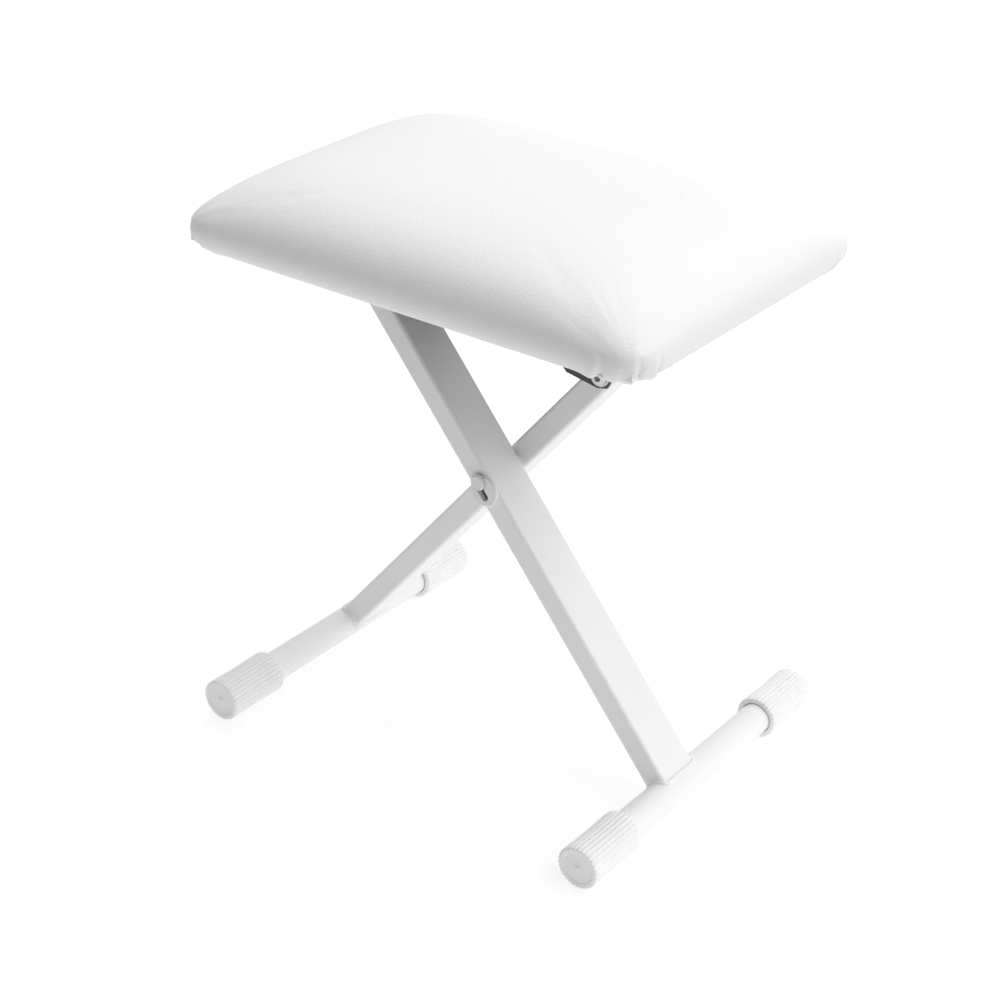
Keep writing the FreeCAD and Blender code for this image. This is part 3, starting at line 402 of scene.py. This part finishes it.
def dust_cloth(colours):
    """Black bonded cloth with a dotted weave."""
    material, tree, shader = new_material("dust_cloth", Roughness=0.92)
    place = own_coordinates(tree)
    dots = add_node(tree, "ShaderNodeTexVoronoi", {"Scale": 850.0, "Randomness": 0.2})
    join(tree, place, "Object", dots, "Vector")
    shade_between(tree, shader, dots, "Distance", (0.022, 0.022, 0.024), (0.06, 0.06, 0.064), 0.1, 0.7)
    bump_from(tree, shader, dots, "Distance", 0.5, 0.25 * MM)
    return material


FINISHES = {
    "white_frame": powder_coat,
    "white_cap": moulded_caps,
    "white_plug": moulded_plugs,
    "pale_hardware": painted_hardware,
    "zinc": bright_zinc,
    "nylon": pale_nylon,
    "dark_rail": dark_paint,
    "plywood": plywood,
    "foam": open_foam,
    "leatherette": coated_cover,
    "dust_sheet": dust_cloth,
}


def finish_for(slot):
    """The material of a slot, made the first time that it is asked for."""
    if slot not in GROUPS:
        GROUPS[slot] = FINISHES[slot](bpy.context.scene.bench_colours)
    return GROUPS[slot]


# Mesh helpers


def start_piece(name):
    """Names the object that an operator has just added."""
    piece = bpy.context.active_object
    piece.name = name
    piece.data.name = name
    return piece


def only(piece):
    """Select one object and make it active."""
    bpy.ops.object.select_all(action="DESELECT")
    piece.select_set(True)
    bpy.context.view_layer.objects.active = piece


def settle(piece):
    """Put the piece's place, turn and size into its mesh."""
    only(piece)
    bpy.ops.object.transform_apply(location=True, rotation=True, scale=True)


def dress(piece, slot, body):
    piece.data.materials.clear()
    piece.data.materials.append(finish_for(slot))
    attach(piece, body)


def smooth(piece, degrees):
    only(piece)
    bpy.ops.object.shade_smooth_by_angle(angle=math.radians(degrees))


def ease(value, low, high):
    """Smooth step from 0 at low to 1 at high."""
    share = min(1.0, max(0.0, (value - low) / (high - low)))
    return share * share * (3 - 2 * share)


# Seat


def crown_value(x, y, inset):
    """1 in the middle of the seat and 0 at its rim."""
    across = abs(x) / (HALF_LENGTH - inset)
    along = abs(y) / (HALF_WIDTH - inset)
    if across >= 1 or along >= 1:
        return -1.0
    return (1 - across ** CROWN_POWER) * (1 - along ** CROWN_POWER)


def wall_inset(z, sizes):
    """How far the side wall draws in at this height."""
    full = SEAT_BOTTOM + RIM_RISE + WALL_RISE
    if z >= full:
        return 0.0
    share = (full - z) / (full - SEAT_BOTTOM)
    inset = sizes.edge_tuck * share ** 1.7
    above = z - SEAT_BOTTOM
    if above < sizes.edge_round:
        depth = sizes.edge_round - above
        inset += sizes.edge_round - math.sqrt(max(0.0, sizes.edge_round ** 2 - depth ** 2))
    return inset


def inside_seat(point, sizes, drop, inset):
    """Whether a point lies in the seat form, lowered by drop and drawn in by inset."""
    if point.z < SEAT_BOTTOM:
        return False
    drawn_in = inset + wall_inset(point.z, sizes)
    corner_x = max(0.0, abs(point.x) - HALF_LENGTH * SIDE_FULL + drawn_in + sizes.corner_round)
    corner_y = max(0.0, abs(point.y) - HALF_WIDTH * SIDE_FULL + drawn_in + sizes.corner_round)
    if math.hypot(corner_x, corner_y) > sizes.corner_round:
        return False
    rim = SEAT_BOTTOM + RIM_RISE
    crown = (COVER_HIGH[2] - rim) / TOP_LEVEL ** CROWN_EASE - drop
    rise = max(0.0, point.z - rim) / crown
    level = max(SIDE_LEVEL, rise ** (1 / CROWN_EASE))
    return crown_value(point.x, point.y, drawn_in) >= level


def cast_to_form(direction, middle, sizes, drop, inset):
    """Where a ray from the middle of the seat leaves the form."""
    near = 0.0
    far = 0.4
    for _ in range(26):
        reach = (near + far) / 2
        if inside_seat(middle + direction * reach, sizes, drop, inset):
            near = reach
        else:
            far = reach
    return middle + direction * near


def select_edges(piece, axis):
    """Select the edges that run along one axis, in edit mode's terms."""
    for edge in piece.data.edges:
        start, end = (piece.data.vertices[index].co for index in edge.vertices)
        run = end - start
        edge.select = abs(run[axis]) > 0.9 * run.length


def seat_blank(sizes):
    """Box cut into an even grid and drawn onto a slightly slack seat form."""
    low = Vector((COVER_LOW[0], COVER_LOW[1], SEAT_BOTTOM))
    high = Vector(COVER_HIGH)
    bpy.ops.object.select_all(action="DESELECT")
    bpy.ops.mesh.primitive_cube_add(size=1.0, location=(low + high) / 2)
    piece = start_piece("padded_seat")
    piece.scale = high - low
    settle(piece)
    for axis, cuts in enumerate(SEAT_CUTS):
        bpy.ops.object.mode_set(mode="EDIT")
        bpy.ops.mesh.select_mode(type="EDGE")
        bpy.ops.mesh.select_all(action="DESELECT")
        bpy.ops.object.mode_set(mode="OBJECT")
        select_edges(piece, axis)
        bpy.ops.object.mode_set(mode="EDIT")
        bpy.ops.mesh.subdivide(number_cuts=cuts)
        bpy.ops.object.mode_set(mode="OBJECT")
    middle = Vector((0.0, 0.0, SEAT_BOTTOM + SEAT_HEART))
    for vertex in piece.data.vertices:
        direction = vertex.co - middle
        direction.normalize()
        vertex.co = cast_to_form(direction, middle, sizes, sizes.swell, SEAT_SLACK)
    return piece


def inflate(piece, sizes):
    """Swell the cover, and keep a share of the wrinkles that a cloth simulation gives it."""
    held = piece.vertex_groups.new(name="stapled")
    for vertex in piece.data.vertices:
        weight = 1 - ease(vertex.co.z, SEAT_BOTTOM + 0.5 * MM, SEAT_BOTTOM + 9 * MM)
        if weight > 0:
            held.add([vertex.index], weight, "REPLACE")
    cloth = piece.modifiers.new("stuffing", "CLOTH")
    cloth.settings.quality = 6
    cloth.settings.mass = 0.35
    cloth.settings.tension_stiffness = 22
    cloth.settings.compression_stiffness = 18
    cloth.settings.shear_stiffness = 8
    cloth.settings.bending_stiffness = 0.6
    cloth.settings.use_pressure = True
    cloth.settings.uniform_pressure_force = 4.0
    cloth.settings.vertex_group_mass = "stapled"
    cloth.settings.effector_weights.gravity = 0.0
    cloth.point_cache.frame_start = 1
    cloth.point_cache.frame_end = SIMULATED_FRAMES
    scene = bpy.context.scene
    for step in range(1, SIMULATED_FRAMES + 1):
        scene.frame_set(step)
    evaluated = piece.evaluated_get(bpy.context.evaluated_depsgraph_get())
    moved = [vertex.co.copy() for vertex in evaluated.data.vertices]
    piece.modifiers.remove(cloth)
    shifts = []
    for vertex, place in zip(piece.data.vertices, moved):
        shift = place - vertex.co
        if shift.length > sizes.swell:
            shift *= sizes.swell / shift.length
        shifts.append(shift)
    broad = averaged(piece, shifts, AVERAGING_ROUNDS)
    normals = [vertex.normal.copy() for vertex in piece.data.vertices]
    for vertex, normal, shift, level in zip(piece.data.vertices, normals, shifts, broad):
        weight = ease(vertex.co.z, SEAT_BOTTOM + 0.5 * MM, SEAT_BOTTOM + 14 * MM)
        vertex.co += normal * sizes.swell * weight + (shift - level) * sizes.pucker
    scene.frame_set(1)


def averaged(piece, shifts, rounds):
    """The same moves with their short waves taken out, by averaging over the edges."""
    pairs = [tuple(edge.vertices) for edge in piece.data.edges]
    for _ in range(rounds):
        sums = [shift.copy() for shift in shifts]
        counts = [1] * len(shifts)
        for one, other in pairs:
            sums[one] += shifts[other]
            sums[other] += shifts[one]
            counts[one] += 1
            counts[other] += 1
        shifts = [total / count for total, count in zip(sums, counts)]
    return shifts


# Folds at each corner: side signs, then place along the edge from the corner, depth, width
# and how high it climbs, in millimetres; the edge runs from the long side to the short side
CORNER_FOLDS = {
    (1, -1): (
        (-33, 1.15, 5.0, 15), (-14, 0.45, 4.0, 9), (2, 1.1, 4.5, 14), (24, 1.15, 4.0, 13), (45, 0.35, 4.0, 8),
    ),
    (-1, -1): ((-24, 0.5, 5.0, 10), (-6, 1.1, 5.0, 15), (12, 1.1, 5.0, 14), (30, 0.5, 4.0, 9)),
    (1, 1): ((-30, 0.7, 5.0, 11), (-9, 1.1, 4.5, 14), (9, 1.1, 4.5, 13), (28, 0.6, 4.0, 9)),
    (-1, 1): ((-28, 0.8, 5.0, 12), (-7, 1.1, 4.5, 15), (11, 1.1, 5.0, 14), (31, 0.7, 4.0, 9)),
}


def corner_fold(point, sizes):
    """Outward and downward move of the gathered folds near the four lower corners."""
    sign = (1 if point.x >= 0 else -1, 1 if point.y >= 0 else -1)
    place = (HALF_WIDTH - abs(point.y)) - (HALF_LENGTH - abs(point.x))
    inward = min(HALF_WIDTH - abs(point.y), HALF_LENGTH - abs(point.x))
    near = 1 - ease(inward, 16 * MM, 34 * MM)
    out = 0.0
    down = 0.0
    for along, depth, width, climb in CORNER_FOLDS[sign]:
        fade = 1 - ease(point.z - SEAT_BOTTOM, 0.2 * climb * MM, 1.5 * climb * MM)
        offset = (place / MM - along) / width
        ridge = math.exp(-(offset / 1.5) ** 2) if offset < 0 else math.exp(-(offset / 0.55) ** 2)
        crease = math.exp(-((offset - 1.15) / 0.45) ** 2)
        out += depth * fade * (0.55 * ridge - 0.95 * crease)
        down += depth * fade * (0.9 * ridge - 0.5 * crease)
    return out * sizes.pleat_depth * near, down * sizes.pleat_depth * 0.8 * near


def crease_height(point):
    """Low, long creases that run up from the corners over the crown."""
    corner = Vector((math.copysign(HALF_LENGTH, point.x), math.copysign(HALF_WIDTH, point.y), SEAT_BOTTOM))
    reach = (point - corner).length
    near = 1 - ease(reach, 40 * MM, 130 * MM)
    around = math.atan2(abs(point.y - corner.y) + 4 * MM, abs(point.x - corner.x) + 4 * MM)
    rows = noise.noise(Vector((around * 7.5, reach * 14, corner.x * 9 + corner.y * 17)))
    fine = noise.noise(Vector((around * 19, reach * 30, corner.x * 5 + 3.7)))
    broad = noise.noise(Vector((point.x * 17, point.y * 21, 2.3)))
    return (0.34 * rows + 0.16 * fine) * near + 0.22 * broad


def fold_cover(piece, sizes):
    """Sewn and pulled features, made after the simulation on the finer mesh."""
    normals = [vertex.normal.copy() for vertex in piece.data.vertices]
    for vertex, normal in zip(piece.data.vertices, normals):
        point = vertex.co.copy()
        under = normal.z < -0.7
        out, down = corner_fold(point, sizes)
        flat = Vector((normal.x, normal.y, 0.0))
        if flat.length > 0.2 and not under:
            flat.normalize()
            vertex.co += flat * out
        inward = min(HALF_WIDTH - abs(point.y), HALF_LENGTH - abs(point.x))
        low = 1 - ease(point.z, SEAT_BOTTOM, SEAT_BOTTOM + 20 * MM)
        vertex.co.z -= sizes.rim_drop * low * (1 - ease(inward, 9 * MM, 26 * MM))
        if point.z < SEAT_BOTTOM + 9 * MM:
            vertex.co.z -= down * (1 - ease(point.z, SEAT_BOTTOM, SEAT_BOTTOM + 9 * MM))
        if not under:
            above = ease(point.z, SEAT_BOTTOM + 2 * MM, SEAT_BOTTOM + 16 * MM)
            vertex.co += normal * crease_height(point) * MM * above


def subdivide_smoothly(piece, levels):
    surface = piece.modifiers.new("finer", "SUBSURF")
    surface.levels = levels
    surface.render_levels = levels
    only(piece)
    bpy.ops.object.modifier_apply(modifier=surface.name)


def open_underside(piece):
    """Leave a wrapped strip round the board and hollow the form to hold the board."""
    board_low, board_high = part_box("seat_board")
    sheet_low, sheet_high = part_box("dust_cover")
    strip = 12 * MM
    mouth_x = sheet_high[0] - strip
    mouth_y = sheet_high[1] - strip
    only(piece)
    bpy.ops.object.mode_set(mode="EDIT")
    bpy.ops.mesh.select_mode(type="FACE")
    bpy.ops.mesh.select_all(action="DESELECT")
    bpy.ops.object.mode_set(mode="OBJECT")
    for face in piece.data.polygons:
        middle = face.center
        in_mouth = abs(middle.x) < mouth_x and abs(middle.y) < mouth_y
        face.select = in_mouth and face.normal.z < -0.9 and middle.z < SEAT_BOTTOM + 3 * MM
    gap = 0.3 * MM
    under = board_low[2] - gap - SEAT_BOTTOM
    over = board_high[2] - board_low[2] + 2 * gap
    wide = ((board_high[0] + gap) / mouth_x, (board_high[1] + gap) / mouth_y)
    bpy.ops.object.mode_set(mode="EDIT")
    bpy.ops.mesh.extrude_region_move(TRANSFORM_OT_translate={"value": (0, 0, under)})
    bpy.ops.mesh.extrude_region_move(TRANSFORM_OT_translate={"value": (0, 0, 0)})
    bpy.ops.transform.resize(value=(wide[0], wide[1], 1.0), center_override=(0, 0, 0))
    bpy.ops.mesh.extrude_region_move(TRANSFORM_OT_translate={"value": (0, 0, over)})
    bpy.ops.object.mode_set(mode="OBJECT")


# Welds


def leg_loop(share, half_depth, half_thick, corner):
    """Point on a rounded rectangle, at this share of its way round."""
    flat_y = half_depth - corner
    flat_x = half_thick - corner
    quarter = math.pi * corner / 2
    runs = [2 * flat_y, quarter, 2 * flat_x, quarter] * 2
    way = share * sum(runs)
    index = 0
    while index < 7 and way > runs[index]:
        way -= runs[index]
        index += 1
    turn = index // 2 * math.pi / 2
    if index % 2 == 0:
        local = (half_thick, -flat_y + way) if index % 4 == 0 else (half_depth, -flat_x + way)
    else:
        angle = way / corner
        flats = (flat_x, flat_y) if index % 4 == 1 else (flat_y, flat_x)
        local = (flats[0] + corner * math.cos(angle), flats[1] + corner * math.sin(angle))
    return (
        local[0] * math.cos(turn) - local[1] * math.sin(turn),
        local[0] * math.sin(turn) + local[1] * math.cos(turn),
    )


def weld_bead(name, body, foot, lean, centre_y, sizes, seed):
    """Rippled bead round the joint of a leg and its floor bar."""
    bar_low, bar_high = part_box("right_foot_tube")
    bar_radius = (bar_high[2] - bar_low[2]) / 2
    bpy.ops.object.select_all(action="DESELECT")
    bpy.ops.mesh.primitive_torus_add(
        major_segments=220, minor_segments=10, major_radius=1.0, minor_radius=0.1)
    piece = start_piece(name)
    turn = Matrix.Rotation(lean, 3, "Y")
    for vertex in piece.data.vertices:
        angle = math.atan2(vertex.co.y, vertex.co.x) % (2 * math.pi)
        share = angle / (2 * math.pi)
        around = math.atan2(vertex.co.z, math.hypot(vertex.co.x, vertex.co.y) - 1.0)
        x, y = leg_loop(share, LEG_HALF_DEPTH, LEG_HALF_THICK, LEG_CORNER)
        outward = Vector((x / LEG_HALF_THICK ** 2, y / LEG_HALF_DEPTH ** 2, 0.0))
        if abs(abs(x) - LEG_HALF_THICK) < 0.4 * MM:
            outward = Vector((math.copysign(1, x), 0, 0))
        elif abs(abs(y) - LEG_HALF_DEPTH) < 0.4 * MM:
            outward = Vector((0, math.copysign(1, y), 0))
        outward.normalize()
        height = math.sqrt(max(0.0, bar_radius ** 2 - min(abs(x), bar_radius * 0.98) ** 2))
        spine = Vector((x, y, height + 0.3 * MM)) + outward * 0.3 * MM
        way = share * LEG_WAY_ROUND
        ripple = 1 + 0.13 * abs(math.sin(way * 1.35)) + 0.12 * noise.noise(Vector((way * 0.5, seed, 0)))
        radius = sizes.weld_radius * ripple
        swing = outward * math.cos(around) + Vector((0, 0, 1)) * math.sin(around)
        local = spine + swing * radius
        vertex.co = turn @ local + Vector((foot, centre_y, bar_radius + bar_low[2]))
    smooth(piece, 60)
    dress(piece, "white_frame", body)
    return piece


# Foot caps

# Profile of a cap: radius, distance from its end face, share of the flute's depth, in millimetres
CAP_END = (
    (0.03, 0.0, 0), (1.0, 0.0, 0), (1.2, 0.15, 0), (1.25, 0.6, 0), (1.5, 0.8, 0), (7.0, 0.8, 0),
    (12.4, 0.8, 0), (12.8, 0.7, 0), (12.95, 0.25, 0), (13.2, 0.02, 0), (15.0, 0.0, 0),
    (16.3, 0.05, 0.75), (17.0, 0.3, 1), (17.4, 0.9, 1),
)
CAP_MOUTH = (
    (17.4, 57.1, 1), (17.0, 57.7, 1), (16.3, 57.95, 0.75), (15.0, 58.0, 0), (13.5, 58.0, 0), (13.0, 57.6, 0),
    (12.95, 56.0, 0), (12.6, 50.0, 0), (12.6, 4.0, 0), (7.0, 4.0, 0), (0.03, 4.0, 0),
)


def cap_profile(waist):
    """Closed profile of a cap, slightly waisted between its rims."""
    side = []
    for index in range(1, CAP_SIDE_ROWS):
        share = index / CAP_SIDE_ROWS
        radius = CAP_RADIUS - waist / MM * math.sin(math.pi * share)
        side.append((radius, CAP_SIDE_START + CAP_SIDE_LENGTH * share, 1))
    return (*CAP_END, *side, *CAP_MOUTH)


def fluted_cap(node, body, outward, sizes):
    """Moulded cap with rounded ribs, on the axis of its floor bar."""
    low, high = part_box(node)
    centre_x = (low[0] + high[0]) / 2
    centre_z = (low[2] + high[2]) / 2
    end = low[1] if outward < 0 else high[1]
    profile = cap_profile(sizes.cap_waist)
    count = len(profile)
    bpy.ops.object.select_all(action="DESELECT")
    bpy.ops.mesh.primitive_torus_add(
        major_segments=CAP_STEPS, minor_segments=count, major_radius=1.0, minor_radius=0.1)
    piece = start_piece(node + "_ribbed")
    for vertex in piece.data.vertices:
        angle = math.atan2(vertex.co.y, vertex.co.x)
        around = math.atan2(vertex.co.z, math.hypot(vertex.co.x, vertex.co.y) - 1.0)
        radius, depth, share = profile[round(around / (2 * math.pi) * count) % count]
        groove = (0.5 - 0.5 * math.cos(CAP_RIBS * angle)) ** 1.6
        reach = radius * MM - share * sizes.flute_depth * groove
        vertex.co = (
            centre_x + reach * math.sin(angle),
            end - outward * depth * MM,
            centre_z + reach * math.cos(angle),
        )
    only(piece)
    bpy.ops.object.mode_set(mode="EDIT")
    bpy.ops.mesh.select_all(action="SELECT")
    bpy.ops.mesh.normals_make_consistent(inside=False)
    bpy.ops.object.mode_set(mode="OBJECT")
    smooth(piece, 45)
    dress(piece, "white_cap", body)
    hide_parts(node)
    return piece


# Stage


def floor_material():
    """Pale floor: white to the camera with a soft shadow; to the light it is dimmer far from the bench and glows a
    little near it, painted bounce light.
    """
    material, tree, shader = new_material("pale_floor", Roughness=0.9)
    place = own_coordinates(tree)
    length = add_node(tree, "ShaderNodeVectorMath", operation="LENGTH")
    join(tree, place, "Object", length, 0)
    fall = {"From Min": 0.45, "From Max": 1.5, "To Min": 0.9, "To Max": 0.5}
    ramp = add_node(tree, "ShaderNodeMapRange", fall)
    join(tree, length, "Value", ramp, "Value")
    join(tree, ramp, "Result", shader, "Base Color")
    # Near the bench the floor glows a little to diffuse rays: painted bounce light.
    shader.inputs["Emission Color"].default_value = (1.0, 1.0, 1.0, 1.0)
    painted_bounce_glow = {"From Min": 0.45, "From Max": 1.3, "To Min": 0.24, "To Max": 0.0}
    near = add_node(tree, "ShaderNodeMapRange", painted_bounce_glow)
    join(tree, length, "Value", near, "Value")
    join(tree, near, "Result", shader, "Emission Strength")
    plain = add_node(tree, "ShaderNodeBsdfDiffuse", {"Color": (0.42, 0.42, 0.42, 1.0)})
    glow = add_node(tree, "ShaderNodeEmission", {"Color": (1, 1, 1, 1), "Strength": 0.68})
    seen = add_node(tree, "ShaderNodeAddShader")
    join(tree, plain, "BSDF", seen, 0)
    join(tree, glow, "Emission", seen, 1)
    path = tree.nodes.new("ShaderNodeLightPath")
    glossy = add_node(tree, "ShaderNodeMath", operation="MAXIMUM")
    join(tree, path, "Is Camera Ray", glossy, 0)
    join(tree, path, "Is Glossy Ray", glossy, 1)
    either = add_node(tree, "ShaderNodeMath", operation="MAXIMUM")
    join(tree, glossy, "Value", either, 0)
    join(tree, path, "Is Transmission Ray", either, 1)
    mix = tree.nodes.new("ShaderNodeMixShader")
    join(tree, either, "Value", mix, "Fac")
    tree.links.new(shader.outputs["BSDF"], mix.inputs[1])
    tree.links.new(seen.outputs["Shader"], mix.inputs[2])
    tree.links.new(mix.outputs["Shader"], tree.nodes["Material Output"].inputs["Surface"])
    return material


def studio_world():
    """Soft dome, dimmer towards the front and the left, and plain white to the camera."""
    world = bpy.data.worlds.new("soft_dome")
    bpy.context.scene.world = world
    world.use_nodes = True
    tree = world.node_tree
    dome = tree.nodes["Background"]
    place = own_coordinates(tree)
    dome.inputs["Color"].default_value = (1, 1, 1, 1)
    side = add_node(tree, "ShaderNodeVectorMath", operation="DOT_PRODUCT")
    side.inputs[1].default_value = (0.35, 0.85, 0.12)
    join(tree, place, "Generated", side, 0)
    spread = {"From Min": -0.7, "From Max": 0.45, "To Min": 0.25, "To Max": 1.05}
    rise = add_node(tree, "ShaderNodeMapRange", spread)
    join(tree, side, "Value", rise, "Value")
    join(tree, rise, "Result", dome, "Strength")
    white = add_node(tree, "ShaderNodeBackground", {"Color": (1, 1, 1, 1), "Strength": 1.0})
    path = tree.nodes.new("ShaderNodeLightPath")
    mix = tree.nodes.new("ShaderNodeMixShader")
    join(tree, path, "Is Camera Ray", mix, "Fac")
    tree.links.new(dome.outputs["Background"], mix.inputs[1])
    tree.links.new(white.outputs["Background"], mix.inputs[2])
    tree.links.new(mix.outputs["Shader"], tree.nodes["World Output"].inputs["Surface"])


def area_lamp(name, place, target, size, power):
    lamp = bpy.data.lights.new(name, "AREA")
    lamp.shape = "SQUARE"
    lamp.size = size
    lamp.energy = power
    holder = bpy.data.objects.new(name, lamp)
    holder.location = place
    holder.rotation_euler = (Vector(target) - Vector(place)).to_track_quat("-Z", "Y").to_euler()
    bpy.context.scene.collection.objects.link(holder)
    return holder


def photo_camera():
    """Camera at the photograph's place; angles in degrees, lens in millimetres."""
    azimuth = math.radians(36.686)
    elevation = math.radians(28.429)
    roll = math.radians(0.898)
    back = Vector((
        math.sin(azimuth) * math.cos(elevation),
        -math.cos(azimuth) * math.cos(elevation),
        math.sin(elevation),
    ))
    level = Vector((math.cos(azimuth), math.sin(azimuth), 0.0))
    upright = back.cross(level)
    right = level * math.cos(roll) + upright * math.sin(roll)
    up = upright * math.cos(roll) - level * math.sin(roll)
    camera = bpy.data.cameras.new("photo_camera")
    camera.sensor_width = 36.0
    camera.lens = 80.25
    holder = bpy.data.objects.new("photo_camera", camera)
    turn = Matrix((right, up, back)).transposed().to_4x4()
    holder.matrix_world = Matrix.Translation((0.90344, -1.22855, 1.02277)) @ turn
    bpy.context.scene.collection.objects.link(holder)
    bpy.context.scene.camera = holder


# Operators


class BENCH_OT_finish_frame(bpy.types.Operator):
    """Give every piece of the frame its finish"""

    bl_idname = "bench.finish_frame"
    bl_label = "Finish Frame"

    def execute(self, context):
        for part in frame["record"]["subparts"]:
            piece = frame["nodes"][part["node"]]
            piece.data.materials.clear()
            piece.data.materials.append(finish_for(part["material_slot"]))
        return {"FINISHED"}


class BENCH_OT_weld_legs(bpy.types.Operator):
    """Add the weld beads between legs and floor bars"""

    bl_idname = "bench.weld_legs"
    bl_label = "Weld Legs"

    def execute(self, context):
        sizes = context.scene.bench_sizes
        pivot = next(joint for joint in frame["joints"] if joint["name"] == "leg_pivot")["pos_m"]
        for name, node, bar, body in (
            ("front_leg_weld", "front_leg", "right_foot_tube", "front_leg_frame"),
            ("rear_leg_weld", "rear_leg", "left_foot_tube", "rear_leg_frame"),
        ):
            low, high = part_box(bar)
            foot = (low[0] + high[0]) / 2
            rise = pivot[2] - (low[2] + high[2]) / 2
            leg_low, leg_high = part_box(node)
            centre_y = (leg_low[1] + leg_high[1]) / 2
            lean = math.atan2(-foot, rise)
            weld_bead(name, body, foot, lean, centre_y, sizes, foot * 30)
        return {"FINISHED"}


class BENCH_OT_rib_caps(bpy.types.Operator):
    """Model the ribbed foot caps over the ends of the floor bars"""

    bl_idname = "bench.rib_caps"
    bl_label = "Rib Caps"

    def execute(self, context):
        sizes = context.scene.bench_sizes
        for side, body in (("right", "front_leg_frame"), ("left", "rear_leg_frame")):
            fluted_cap(side + "_front_foot_cap", body, -1, sizes)
            fluted_cap(side + "_rear_foot_cap", body, 1, sizes)
        return {"FINISHED"}


class BENCH_OT_pad_seat(bpy.types.Operator):
    """Model the padded seat with its drawn-in sides and gathered corners"""

    bl_idname = "bench.pad_seat"
    bl_label = "Pad Seat"

    def execute(self, context):
        sizes = context.scene.bench_sizes
        piece = seat_blank(sizes)
        inflate(piece, sizes)
        subdivide_smoothly(piece, 2)
        fold_cover(piece, sizes)
        open_underside(piece)
        piece.vertex_groups.clear()
        smooth(piece, 50)
        dress(piece, "leatherette", "seat")
        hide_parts("seat_cover", "seat_foam")
        return {"FINISHED"}


class BENCH_OT_build_stage(bpy.types.Operator):
    """Add the floor, the lamps and the camera"""

    bl_idname = "bench.build_stage"
    bl_label = "Build Stage"

    def execute(self, context):
        context.scene.view_settings.view_transform = "Standard"
        bpy.ops.object.select_all(action="DESELECT")
        bpy.ops.mesh.primitive_plane_add(size=24.0, location=(0, 0, 0))
        floor = start_piece("floor")
        floor.data.materials.append(floor_material())
        studio_world()
        area_lamp("key_lamp", (1.9, 0.5, 2.3), (0, 0, 0.3), 1.6, 17.0)
        area_lamp("top_lamp", (-0.4, 0.6, 2.8), (0, 0, 0.3), 2.0, 13.0)
        photo_camera()
        return {"FINISHED"}


OPERATORS = (
    BENCH_OT_finish_frame, BENCH_OT_weld_legs, BENCH_OT_rib_caps, BENCH_OT_pad_seat, BENCH_OT_build_stage,
)


class BENCH_PT_sidebar(bpy.types.Panel):
    """Steps that dress the bench, in order"""

    bl_label = "Bench"
    bl_idname = "BENCH_PT_sidebar"
    bl_space_type = "VIEW_3D"
    bl_region_type = "UI"
    bl_category = "Bench"

    def draw(self, context):
        for group in (context.scene.bench_sizes, context.scene.bench_colours):
            for name in group.__annotations__:
                self.layout.prop(group, name)
        for step in OPERATORS:
            self.layout.operator(step.bl_idname)


CLASSES = (BenchSizes, BenchColours, *OPERATORS, BENCH_PT_sidebar)


def register():
    for item in CLASSES:
        bpy.utils.register_class(item)
    bpy.types.Scene.bench_sizes = bpy.props.PointerProperty(type=BenchSizes)
    bpy.types.Scene.bench_colours = bpy.props.PointerProperty(type=BenchColours)


def unregister():
    del bpy.types.Scene.bench_colours
    del bpy.types.Scene.bench_sizes
    for item in reversed(CLASSES):
        bpy.utils.unregister_class(item)


def main():
    register()
    bpy.ops.bench.finish_frame()
    bpy.ops.bench.weld_legs()
    bpy.ops.bench.rib_caps()
    bpy.ops.bench.pad_seat()
    bpy.ops.bench.build_stage()


if __name__ == "__main__":
    main()
